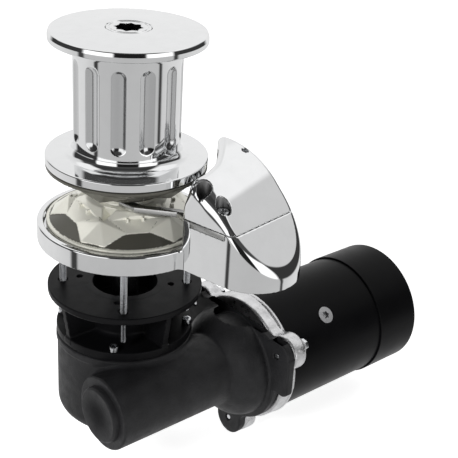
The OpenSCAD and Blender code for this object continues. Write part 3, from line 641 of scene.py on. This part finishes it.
def gypsy_painted_shade(obj, whole):
    """Marks the dish between the teeth, or the whole of a half, for painted shade: a near-black colour that
    stands for the shadow under the drum's flange.
    """
    x, y, z = np.array([v.co for v in obj.data.vertices]).T / MM
    r = np.hypot(x, y)
    g = (np.arctan2(y, x) - TOOTH_AT) % SECTOR - SECTOR / 2
    off_pocket = pocket_plan(r * np.cos(g), np.abs(r * np.sin(g))) > 0.3
    dish = (np.abs(z + 0.66 * r - 61.96) < 0.4) & off_pocket
    mark = obj.data.attributes.new("painted_shade", "FLOAT", "POINT")
    mark.data.foreach_set("value", (dish | whole).astype(np.float32))
    return obj


def gypsy():
    low = implicit("gypsy_lower_half", lambda p: gypsy_body(p[:, 0], p[:, 1], p[:, 2], 12.5),
                   (-70, -70, 11.5), (70, 70, 44), 0.8)
    top = implicit("gypsy_upper_half", lambda p: gypsy_body(p[:, 0], p[:, 1], 2 * MID_Z - p[:, 2], 15.8),
                   (-70, -70, 42), (70, 70, 71.5), 1.0)
    return gypsy_painted_shade(low, False), gypsy_painted_shade(top, True)


# ---------------------------------------------------------------- base, hood and stripper
def hood_top(s, t, z):
    y = t - 63.0
    zz = -y * math.sin(TILT) + z * math.cos(TILT)
    ds, dz = s - 58.0, zz - 17.0
    flat = ds * math.sin(SLOPE) + dz * math.cos(SLOPE) - 75.0
    return np.where(np.arctan2(ds, dz) < SLOPE, np.hypot(ds, dz) - 75.0, flat)


def hood_solid(x, y, z):
    s, t = hood_st(x, y)
    r = np.hypot(x, y)
    plan = np.hypot(np.maximum(s - HOOD_END, 0), t - HOOD_T) - HOOD_HALF
    top = hood_top(s, t, z)
    near = 5.5 + 6.5 * (1 - step(t, -4, 14)) * (1 - step(s, 98, 122))
    body = meet(plan, top, near)
    edge = 2.2 + 10.3 * step(z, 52, 76) * (1 - 0.5 * step(t, 22, 52))
    body = meet(body, 77.0 - r, edge)
    return body, s, t, top


def hood_cavity(s, t, z, top):
    plan = np.hypot(np.maximum(s - HOOD_END, 0), t - 29.5) - 27.5
    return meet(meet(plan, top + 10, 4), 8 - z, 1.5)


def base_shape(p):
    x, y, z = p[:, 0], p[:, 1], p[:, 2]
    body, s, t, top = hood_solid(x, y, z)
    r = np.hypot(x, y)
    ring = meet(r - BASE_R, z - 17.5, 1.8)
    body = join(ring, body, 4.5)
    body = meet(body, z - JOINT_Z, 0.5)
    body = meet(body, 0.0 - z, 0.7)
    body = cut(body, meet(r - 71, 10 - z, 0.8), 0.9)
    keep = np.maximum(r - BASE_R, z - 17.5)
    body = cut(body, np.maximum(hood_cavity(s, t, z, top), -keep), 0.8)
    body = cut(body, np.hypot(s - PIPE_ST[0], t - PIPE_ST[1]) - 25.0 + np.maximum(z - 12, 0), 1.0)
    body = cut(body, r - 20, 0.4)
    slot_ = np.maximum(stripper_plan(s, t) - 0.15, 41.5 - z)
    return cut(body, slot_, 0.25)


def cover_shape(p):
    x, y, z = p[:, 0], p[:, 1], p[:, 2]
    body, s, t, top = hood_solid(x, y, z)
    body = meet(body, JOINT_Z + 0.35 - z, 0.55)
    body = cut(body, hood_cavity(s, t, z, top), 0.8)
    for ss, tt in SCREW_ST:
        d = np.hypot(s - ss, t - tt)
        body = cut(body, np.maximum(d - 6.0, 56 - z), 0.9)
        body = cut(body, d - 3.3, 0.2)
    d = np.hypot(s - CREST_ST[0], t - CREST_ST[1])
    return cut(body, np.maximum(d - 3.0, 76 - z), 0.4)


STRIPPER = [(16, -27), (33.5, -27.3), (64.5, -9.5), (80, -14.5), (84, -15.8), (119, -15.8),
            (119, -1), (80, -1), (62, -2.5), (36, -18.5), (20, -19.5)]


def stripper_plan(s, t):
    """Signed distance to the stripper's outline in the hood's (s, t) plane."""
    best = np.full(len(s), 1e9)
    inside = np.zeros(len(s), bool)
    n = len(STRIPPER)
    for i in range(n):
        (ax, ay), (bx, by) = STRIPPER[i], STRIPPER[(i + 1) % n]
        ex, ey = bx - ax, by - ay
        wx, wy = s - ax, t - ay
        k = np.clip((wx * ex + wy * ey) / (ex * ex + ey * ey), 0, 1)
        best = np.minimum(best, np.hypot(wx - ex * k, wy - ey * k))
        crosses = (ay > t) != (by > t)
        at = ax + (t - ay) * ex / (ey if ey else 1e-9)
        inside ^= crosses & (s < at)
    return np.where(inside, -best, best)


def stripper_bar():
    def spot(p):
        x, y = st_hood(p[:, 0], p[:, 1])
        return np.stack([x, y, p[:, 2]], 1)
    return prism("chain_stripper_bar", STRIPPER, 41.6, 46.4, 0.5, spot)


# ---------------------------------------------------------------- adapter and gearbox
def adapter_shape(p):
    x, y, z = p[:, 0], p[:, 1], p[:, 2]
    r = np.hypot(x, y)
    disc = meet(r - 68.4, slab(z, -51.3, -45.3), 1.0)
    low = meet(r - 61.1, slab(z, -92, -84), 0.9)
    tube = np.maximum(r - 33, slab(z, -91, -46))
    rib = np.minimum(np.abs(x), np.abs(y)) - 3.0
    rise = np.clip((z + 84) / 33, 0, 1)
    rib = np.maximum(np.maximum(rib, r - 60.1 - 5.3 * rise), slab(z, -88, -48))
    body = join(join(disc, low, 0.1), tube, 4.0)
    body = join(body, rib, 2.2)
    body = meet(body, slab(z, -92, -45.3), 0.3)
    body = cut(body, np.maximum(r - 28.6, -66 - z), 0.8)
    body = cut(body, np.maximum(r - 26, z + 77), 0.4)
    body = cut(body, np.maximum(r - 20, z + 70), 0.3)
    body = cut(body, r - 14.5, 0.3)
    theta = np.arctan2(y, x)
    above_ring, below_disc = -60 - z, z + 80
    for centre, at, size, side in ((STUD_PITCH_R, STUD_TURN, 4.2, above_ring),
                                   (41, 45, 2.7, above_ring), (CAP_PITCH_R, 45, 2.7, below_disc)):
        a = (theta - math.radians(at) + math.pi / 4) % (math.pi / 2) - math.pi / 4
        d = np.hypot(r * np.cos(a) - centre, r * np.sin(a)) - size
        body = cut(body, np.maximum(d, side), 0.45)
    return body


def by_lug(b, c):
    """Distances along and across the nearest of three arms, the first of which points down."""
    rho = np.hypot(b, c)
    third = 2 * math.pi / 3
    a = (np.arctan2(c, b) + math.pi / 2 + third / 2) % third - third / 2
    return rho * np.cos(a), rho * np.sin(a)


def lugs(b, c, radius, lug):
    """Plan of a round flange with three lugs; b and c are distances across from the worm axis."""
    u, v = by_lug(b, c)
    arm = np.hypot(u - np.clip(u, 0, LUG_PITCH_R), v) - lug
    return join(np.hypot(b, c) - radius, arm, 6.0)


def side_tabs(b, c):
    """Squared tabs under the two upper lugs."""
    b = np.abs(b)
    top = (c - 44) * 0.95 + (b - 50) * 0.31
    return meet(meet(np.maximum(b - 74.5, (b - 70.5 - c - 4) * 0.7), -4 - c, 2.0), top, 2.0)


def housing_shape(p):
    x, y, z = p[:, 0], p[:, 1], p[:, 2]
    b, c = y - WORM_Y, z - WORM_Z
    r, rho = np.hypot(x, y), np.hypot(b, c)
    pot = meet(r - 60.5, -175 - z, 15.0)
    pot = meet(pot, z + 92.6, 1.2)
    bead = meet(r - 61.5, slab(z, -99.5, -92.9), 1.0)
    tube = meet(rho - 33.4, slab(x, -64, 75), 1.6)
    body = join(pot, tube, 6.0)
    body = join(body, bead, 0.8)
    swell = 33.4 + 18.8 * (1 - np.maximum((79 - x) / 25, 0) ** 2.2)
    bell = meet((rho - swell) * 0.66, slab(x, 42, 86), 1.0)
    body = join(body, bell, 1.6)
    plate = meet(np.minimum(lugs(b, c, 57.5, 16.0), side_tabs(b, c)), slab(x, 82, 89.7), 1.3)
    body = join(body, plate, 2.0)
    inner = np.maximum(r - 50.5, -149.7 - z)
    inner = np.minimum(inner, np.maximum(r - 26, -164.7 - z))
    inner = np.minimum(inner, rho - 21)
    inner = np.minimum(inner, np.maximum(rho - 44, 66 - x))
    body = cut(body, inner, 0.8)
    u, v = by_lug(b, c)
    bolt = np.hypot(u - LUG_PITCH_R, v) - 3.2
    return cut(body, np.maximum(bolt, 79 - x), 0.4)


def end_cap():
    outline = [(0.01, -69.5, 0), (24.8, -69.5, 2.2), (25.6, -63.4, 0.4), (21, -63.4, 0.4),
               (21, -59, 0.4), (0.01, -59, 0)]
    return turned("worm_cap_boss", outline, 96, "x", (0, WORM_Y, WORM_Z))


def flange_shape(p):
    x, y, z = p[:, 0], p[:, 1], p[:, 2]
    b, c = y - WORM_Y, z - WORM_Z
    rho = np.hypot(b, c)
    wobble = 0.25 * np.sin(b * 0.31 + 1.3) * np.sin(c * 0.27) * np.sin(x * 0.3)
    plan = lugs(b, c, 60.0, 16.6) + wobble
    body = meet(plan, slab(x, 90, 104), 1.8)
    u, v = by_lug(b, c)
    boss = meet(np.hypot(u - LUG_PITCH_R, v) - 9, slab(x, 92, 111), 1.2)
    body = join(body, np.maximum(boss, np.minimum(x - 104, 58.8 - rho)), 3.0)
    seam = meet(slab(rho, 57.5, 60.8), slab(x, 103, 106.5), 0.8)
    body = join(body, meet(rho - 51.5, slab(x, 92, 110), 0.5), 0.3)
    body = join(body, seam, 0.8)
    inner = np.minimum(rho - 13, np.maximum(rho - 17.5, x - 102))
    inner = np.minimum(inner, np.maximum(rho - 46, 102 - x))
    body = cut(body, inner, 0.5)
    return cut(body, np.hypot(u - LUG_PITCH_R, v) - 3.1, 0.4)


# ---------------------------------------------------------------- screws and studs
def stud(name, x, y, r, pitch, lo, hi):
    """Threaded stud along z with a chamfered lower end."""
    per, around = 6, 20
    rows = int((hi - lo) / pitch * per)
    z = np.linspace(lo, hi, rows + 1)[:, None]
    t = np.arange(around)[None, :] * 2 * math.pi / around
    phase = ((z / pitch - t / (2 * math.pi)) % 1.0)
    depth = 0.61 * pitch * (np.abs(phase - 0.5) * 2) ** 1.1
    radius = np.minimum(r - depth * 0.85, r - 1.0 + np.maximum(z - lo, 0) * 0.9)
    pos = np.stack([x + radius * np.cos(t), y + radius * np.sin(t), z + 0 * t], -1).reshape(-1, 3)
    faces = [list(q) for q in ring_quads(rows + 1, around, False)]
    faces.append(list(range(around))[::-1])
    faces.append([rows * around + k for k in range(around)])
    return new_object(name, pos, faces, smooth_deg=50)


def hexagon(across, turn=0.0):
    r = across / 2 / math.cos(math.pi / 6)
    return [(r * math.cos(turn + k * math.pi / 3), r * math.sin(turn + k * math.pi / 3)) for k in range(6)]


def cap_screw(name, at, head_r, head_h, shank_r, length, hexes):
    """Socket head cap screw with a knurled head, seated at `at`. The head points up."""
    count = 48
    t = np.arange(count) * 2 * math.pi / count
    knurl = head_r - 0.12 * (np.arange(count) % 2)
    hx = hexes / 2 / np.cos((t + math.pi / 6) % (math.pi / 3) - math.pi / 6)
    rows = [(np.full(count, shank_r), -length), (np.full(count, shank_r), 0.0), (knurl - 0.3, 0.0),
            (knurl, 0.3), (knurl, head_h - 0.6), (np.full(count, head_r - 0.6), head_h),
            (hx + 0.25, head_h), (hx, head_h - 0.3), (hx, head_h * 0.45),
            (np.full(count, 0.3), head_h * 0.4)]
    pos = np.stack([np.stack([r * np.cos(t), r * np.sin(t), np.full(count, h)], -1) for r, h in rows])
    faces = [list(q) for q in ring_quads(len(rows), count, False)]
    last = (len(rows) - 1) * count
    faces.append([last + k for k in range(count)])
    faces.append(list(range(count))[::-1])
    return new_object(name, pos.reshape(-1, 3) + np.array(at, float), faces, smooth_deg=30)


def flange_bolts():
    parts = []
    for k in range(3):
        a = -math.pi / 2 + k * 2 * math.pi / 3
        y, z = WORM_Y + LUG_PITCH_R * math.cos(a), WORM_Z + LUG_PITCH_R * math.sin(a)

        def spot(p, y=y, z=z):
            return np.stack([p[:, 2], y + p[:, 0], z + p[:, 1]], 1)
        parts.append(prism("head", hexagon(10, 0.2 + k), 112.2, 117.2, 0.5, spot))
        washer = [(3.1, 111.1, 0.1), (6.5, 111.1, 0.3), (6.5, 112.2, 0.3), (3.1, 112.2, 0.1)]
        parts.append(turned("washer", washer, 48, "x", (0, y, z)))
        shank = [(0.01, 82.8, 0), (2.2, 82.8, 0.3), (3.0, 83.8, 0.3), (3.0, 112.3, 0.1), (0.01, 112.3, 0)]
        parts.append(turned("shank", shank, 32, "x", (0, y, z)))
    return merged("flange_bolt_set", parts)


def torx_screw(k):
    """Countersunk pole screw with a six-lobed recess, set in the motor tube."""
    a = math.radians(POLE_SCREW_TURN + 90 * k)
    count = 72
    t = np.arange(count) * 2 * math.pi / count
    lobe = 3.1 + 0.55 * np.cos(6 * t)

    def row(r, h):
        return np.stack([r * np.cos(t), r * np.sin(t), np.full(count, float(h))], -1)
    rows = [row(4.0, 41.5), row(4.0, 54.2), row(7.7, 57.9), row(8.0, 58.15), row(7.8, 58.32),
            row(5.5, 58.42), row(lobe + 0.3, 58.45), row(lobe, 58.2), row(lobe * 0.96, 55.6), row(0.2, 55.2)]
    pos = np.stack(rows)
    u, v, w = pos[..., 0], pos[..., 1], pos[..., 2]
    y = WORM_Y + w * math.cos(a) - v * math.sin(a)
    z = WORM_Z + w * math.sin(a) + v * math.cos(a)
    x = POLE_SCREW_X - u
    faces = [list(q) for q in ring_quads(len(rows), count, False)]
    faces.append([(len(rows) - 1) * count + i for i in range(count)])
    faces.append(list(range(count))[::-1])
    return new_object("torx", np.stack([x, y, z], -1).reshape(-1, 3), faces, smooth_deg=35)


# ---------------------------------------------------------------- motor
def tube_shape(p):
    x, y, z = p[:, 0], p[:, 1], p[:, 2]
    b, c = y - WORM_Y, z - WORM_Z
    rho = np.hypot(b, c)
    body = meet(meet(rho - MOTOR_R, 52.5 - rho, 0.6), slab(x, 104.2, 240), 0.6)
    for k in range(4):
        a = math.radians(POLE_SCREW_TURN + 90 * k)
        w = b * math.cos(a) + c * math.sin(a)
        v = -b * math.sin(a) + c * math.cos(a)
        d = np.hypot(x - POLE_SCREW_X, v)
        sink = np.minimum(np.maximum(d - 8.35, 57.7 - w), np.maximum((d - 8.2 + (57.9 - w)) * 0.7, 40 - w))
        sink = np.minimum(sink, d - 4.2 + np.maximum(0, 20 - w))
        body = cut(body, sink, 0.25)
    return body


def rear_sleeve():
    shell = turned("sleeve", [(58.55, 222.7, 0.25), (60.1, 222.7, 0.6), (60.1, 273.2, 2.2), (0.01, 273.2, 0),
                              (0.01, 269.2, 0), (58.55, 269.2, 0.5)], 192, "x", (0, WORM_Y, WORM_Z))
    cutters = []
    for k in (-1, 0, 1):
        hole = turned("hole", [(0.01, 260, 0), (8.0, 260, 0.1), (8.0, 280, 0.1), (0.01, 280, 0)], 64, "x",
                      (0, WORM_Y + TERMINAL_STEP * k, WORM_Z + TERMINAL_RISE))
        cutters.append(hole)
    tool = merged("holes", cutters)
    modifier = shell.modifiers.new("holes", "BOOLEAN")
    modifier.operation, modifier.object, modifier.solver = "DIFFERENCE", tool, "EXACT"
    return bake_modifiers(shell, "rear_sleeve_shell", tool)


def bake_modifiers(obj, name, *tools):
    """Applies an object's modifiers, then removes it and the tools they used."""
    bpy.context.view_layer.update()
    graph = bpy.context.evaluated_depsgraph_get()
    mesh = bpy.data.meshes.new_from_object(obj.evaluated_get(graph), depsgraph=graph)
    for o in (obj, *tools):
        bpy.data.objects.remove(o)
    return shaded(name, mesh, 30)


def terminals():
    studs, washers, nuts = [], [], []
    bore_r = 4.05
    for k in (-1, 0, 1):
        y, z = WORM_Y + TERMINAL_STEP * k, WORM_Z + TERMINAL_RISE

        def spot(p, y=y, z=z):
            return np.stack([p[:, 2], y + p[:, 0], z + p[:, 1]], 1)
        s = stud("stud", 0, 0, 4.0, 1.25, -292.2, -265.2)
        co = np.array([v.co for v in s.data.vertices]) / MM
        co = np.stack([-co[:, 2], y + co[:, 0], z - co[:, 1]], 1)
        s.data.vertices.foreach_set("co", (co * MM).astype(np.float32).ravel())
        studs.append(s)
        collar = [(bore_r, 269.3, 0.2), (7.95, 269.3, 0.2), (7.95, 273.0, 0.1), (10.5, 273.3, 0.3),
                  (10.5, 275.1, 0.5), (bore_r, 275.1, 0.2)]
        washers.append(turned("washer", collar, 64, "x", (0, y, z)))
        turns = [j * math.pi / 12 for j in range(24)]
        inner = [(bore_r * math.cos(a), bore_r * math.sin(a)) for a in turns]
        nut = prism("nut", hexagon(13, 0.3 * k), 275.2, 281.7, 0.6, spot)
        cutter = prism("bore", inner, 270, 290, 0.01, spot, 1)
        modifier = nut.modifiers.new("bore", "BOOLEAN")
        modifier.operation, modifier.object, modifier.solver = "DIFFERENCE", cutter, "EXACT"
        nuts.append(bake_modifiers(nut, f"nut{k}", cutter))
    return [merged(f"terminal_{kind}_set", made)
            for kind, made in (("stud", studs), ("washer", washers), ("nut", nuts))]


# ---------------------------------------------------------------- build
def four_around(radius, first_deg):
    """Four (x, y) places around the drum axis, a quarter turn apart."""
    turns = [math.radians(first_deg + 90 * k) for k in range(4)]
    return [(radius * math.cos(a), radius * math.sin(a)) for a in turns]


ride(drum(), "drum", "polished_chrome", DRUM_CHROME, "drum_head", "drum_barrel", "drum_low_flange")
ride(clutch_nut(), "clutch_nut", "polished_chrome", NUT_CHROME, "clutch_nut")
lower_half, upper_half = gypsy()
ride(lower_half, "gypsy", "satin_nickel", NICKEL, "gypsy_lower")
ride(upper_half, "gypsy", "satin_nickel", NICKEL, "gypsy_upper")
ride(implicit("base_casting", base_shape, (-78, -164, -1), (92, 78, 48), 1.15), "deck_unit",
     "polished_chrome", CHROME, "base", "hood_base")
ride(implicit("hood_cover_shell", cover_shape, (0, -164, 44), (92, -10, 94), 1.1), "deck_unit",
     "polished_chrome", HOOD_CHROME, "hood_cover")
ride(stripper_bar(), "deck_unit", "steel", BAR, "chain_stripper")
ride(implicit("adapter_casting", adapter_shape, (-70, -70, -93), (70, 70, -44), 1.25), "deck_unit",
     "black_anodised", ANODISED, "adapter", "adapter_ring", "adapter_ribs")
ride(implicit("gearbox_casting", housing_shape, (-66, -160, -216), (92, 64, -90), 1.6), "deck_unit",
     "black_casting", CAST, "gearbox_housing", "bell_housing", "housing_plate")
ride(end_cap(), "deck_unit", "black_casting", CAST, "worm_end_cap")
ride(implicit("flange_casting", flange_shape, (88, -136, -216), (113, 20, -68), 1.3), "deck_unit",
     "raw_casting", RAW, "motor_flange")
ride(implicit("motor_tube_shell", tube_shape, (103, -118, -190), (241, 2, -69), 1.5), "deck_unit",
     "motor_black", MOTOR, "motor_tube")
ride(rear_sleeve(), "deck_unit", "motor_black", MOTOR, "rear_sleeve")
ride(flange_bolts(), "deck_unit", "bright_zinc", ZINC, "flange_bolts")
ride(merged("pole_screw_set", [torx_screw(k) for k in range(4)]), "deck_unit", "bright_zinc",
     SCREW_ZINC, "pole_screws")
stud_set = [stud("stud", x, y, 3.0, 1.0, -75.5, 9.0) for x, y in four_around(STUD_PITCH_R, STUD_TURN)]
ride(merged("deck_stud_set", stud_set), "deck_unit", "steel", STEEL, "deck_studs")
cap_set = [cap_screw("cap", (x, y, -83.9), 4.25, 5.0, 2.5, 20, 4.0)
           for x, y in four_around(CAP_PITCH_R, 45)]
ride(merged("adapter_screw_set", cap_set), "deck_unit", "bright_zinc", ZINC, "adapter_screws")
hood_set = [cap_screw("cap", (*st_hood(s, t), 56.1), 5.0, 6.0, 3.0, 30, 5.0) for s, t in SCREW_ST]
crest = [(0.01, 76, 0), (2.95, 76, 0.3), (2.95, 83.8, 0.4), (1.5, 83.8, 0.2), (1.5, 81, 0.1),
         (0.01, 81, 0)]
hood_set.append(turned("crest", crest, 48, "z", (*st_hood(*CREST_ST), 0)))
ride(merged("hood_screw_set", hood_set), "deck_unit", "steel", STEEL, "hood_screws")
shaft = turned("main_spindle", [(0.01, -164, 0), (12.5, -164, 1.0), (12.5, 150, 1.0), (10, 151.5, 0.3),
                                (10, 170.4, 0.8), (0.01, 170.4, 0)], 128)
ride(shaft, "main_shaft", "steel", STEEL, "main_shaft", "shaft_keys")
t_studs, t_washers, t_nuts = terminals()
ride(t_studs, "deck_unit", "clutch_bronze", BRONZE, "terminal_studs")
ride(t_washers, "deck_unit", "insulator", INSULATOR, "terminal_insulators")
ride(t_nuts, "deck_unit", "bright_zinc", ZINC, "terminal_nuts")


# ---------------------------------------------------------------- studio
def camera():
    right = Vector((0.75996, -0.64772, 0.05457))
    up = Vector((0.25055, 0.36936, 0.89490))
    back = -Vector((0.59977, 0.66637, -0.44296))
    data = bpy.data.cameras.new("camera")
    data.lens, data.sensor_width = 85.55, 36
    data.clip_start, data.clip_end = 0.01, 20
    cam = bpy.data.objects.new("camera", data)
    rot = Matrix((right, up, back)).transposed().to_4x4()
    cam.matrix_world = Matrix.Translation((-0.50084, -0.69061, 0.4307)) @ rot
    bpy.context.scene.collection.objects.link(cam)
    bpy.context.scene.camera = cam


def world():
    """Studio painted by world direction: a dark front between two soft boxes, dark wings,
    a pale sweep behind and a grey table in front. The camera itself sees plain white.
    Each ramp is one band of height, as (degrees round from the front, brightness)."""
    w = bpy.data.worlds.new("studio")
    bpy.context.scene.world = w
    w.use_nodes = True
    nt = w.node_tree
    nt.nodes.clear()
    calc, mix = calculator(nt), mixer(nt)

    def dot(v, axis):
        n = nt.nodes.new("ShaderNodeVectorMath")
        n.operation = "DOT_PRODUCT"
        nt.links.new(v, n.inputs[0])
        n.inputs[1].default_value = axis
        return n.outputs["Value"]

    def ramp(fac, stops):
        n = nt.nodes.new("ShaderNodeValToRGB")
        nt.links.new(fac, n.inputs[0])
        while len(n.color_ramp.elements) < len(stops):
            n.color_ramp.elements.new(0.5)
        for element, (deg, v) in zip(n.color_ramp.elements, stops):
            element.position = (deg + 180) / 360
            element.color = (v, v, v, 1)
        return n.outputs[0]

    def between(value, lo, hi):
        n = nt.nodes.new("ShaderNodeMapRange")
        n.interpolation_type = "SMOOTHSTEP"
        n.inputs["From Min"].default_value, n.inputs["From Max"].default_value = lo, hi
        nt.links.new(value, n.inputs["Value"])
        return n.outputs["Result"]

    d = nt.nodes.new("ShaderNodeTexCoord").outputs["Generated"]
    sideways, front, upward = (0.761, -0.6487, 0), (-0.669, -0.743, 0), (0, 0, 1)
    aside = calc("ARCTAN2", dot(d, sideways), dot(d, front))
    fac = calc("ADD", calc("MULTIPLY", aside, 1 / (2 * math.pi)), 0.5)
    lift = calc("MULTIPLY", calc("ARCSINE", dot(d, upward)), 180 / math.pi)
    table = ramp(fac, [(-180, 0.62), (-100, 0.58), (-70, 0.50), (-66, 0.04), (-60, 0.04),
                       (-57, 0.42), (0, 0.40), (71, 0.42), (74, 0.04), (78, 0.04), (82, 0.50),
                       (110, 0.56), (180, 0.62)])
    middle = ramp(fac, [(-180, 0.68), (-134, 0.66), (-122, 0.03), (-61, 0.03), (-56, 1.0),
                        (-18, 1.0), (-14, 0.01), (28, 0.01), (32, 1.0), (68, 1.0), (73, 0.03),
                        (136, 0.03), (146, 0.66), (180, 0.68)])
    upper = ramp(fac, [(-180, 0.68), (-112, 0.55), (-96, 0.05), (70, 0.05), (84, 0.50),
                       (110, 0.49), (140, 0.56), (180, 0.68)])
    crown = ramp(fac, [(-180, 0.74), (-92, 0.76), (-76, 0.03), (70, 0.03), (86, 0.76), (180, 0.74)])
    zenith = ramp(fac, [(-180, 0.06), (180, 0.06)])
    look = table
    for low, high, band in ((-13, -7, middle), (21, 26, upper), (36, 41, crown), (60, 68, zenith)):
        look = mix(between(lift, low, high), look, band)
    lit, seen = nt.nodes.new("ShaderNodeBackground"), nt.nodes.new("ShaderNodeBackground")
    nt.links.new(look, lit.inputs[0])
    lit.inputs[1].default_value = 1.32
    seen.inputs[0].default_value = (1, 1, 1, 1)
    both = nt.nodes.new("ShaderNodeMixShader")
    path = nt.nodes.new("ShaderNodeLightPath")
    nt.links.new(path.outputs["Is Camera Ray"], both.inputs[0])
    nt.links.new(lit.outputs[0], both.inputs[1])
    nt.links.new(seen.outputs[0], both.inputs[2])
    out = nt.nodes.new("ShaderNodeOutputWorld")
    nt.links.new(both.outputs[0], out.inputs[0])


def key_light():
    """Soft box left of the camera, aimed at the gypsy. Mirror reflections don't show it."""
    data = bpy.data.lights.new("key", "AREA")
    data.energy, data.size = 15.0, 0.4
    key = bpy.data.objects.new("key", data)
    key.location = (-1.27, -0.42, 0.75)
    key.rotation_mode = "QUATERNION"
    key.rotation_quaternion = (Vector((0, 0, 0.04)) - key.location).to_track_quat("-Z", "Y")
    key.visible_glossy = False
    bpy.context.scene.collection.objects.link(key)


def studio():
    """White floor just under the part, left out of mirror reflections."""
    reach, z = 5000.0, -214.0
    corners = [(-reach, -reach, z), (reach, -reach, z), (reach, reach, z), (-reach, reach, z)]
    floor = new_object("floor", corners, [(0, 1, 2, 3)])
    m = bpy.data.materials.new("floor")
    m.use_nodes = True
    b = m.node_tree.nodes["Principled BSDF"]
    b.inputs["Base Color"].default_value = (0.9, 0.9, 0.9, 1)
    b.inputs["Roughness"].default_value = 1.0
    b.inputs["Specular IOR Level"].default_value = 0.0
    b.inputs["Emission Color"].default_value = (1, 1, 1, 1)
    b.inputs["Emission Strength"].default_value = 0.8
    floor.data.materials.append(m)
    floor.visible_glossy = False
    bpy.context.scene.view_settings.view_transform = "Standard"


camera()
world()
key_light()
studio()
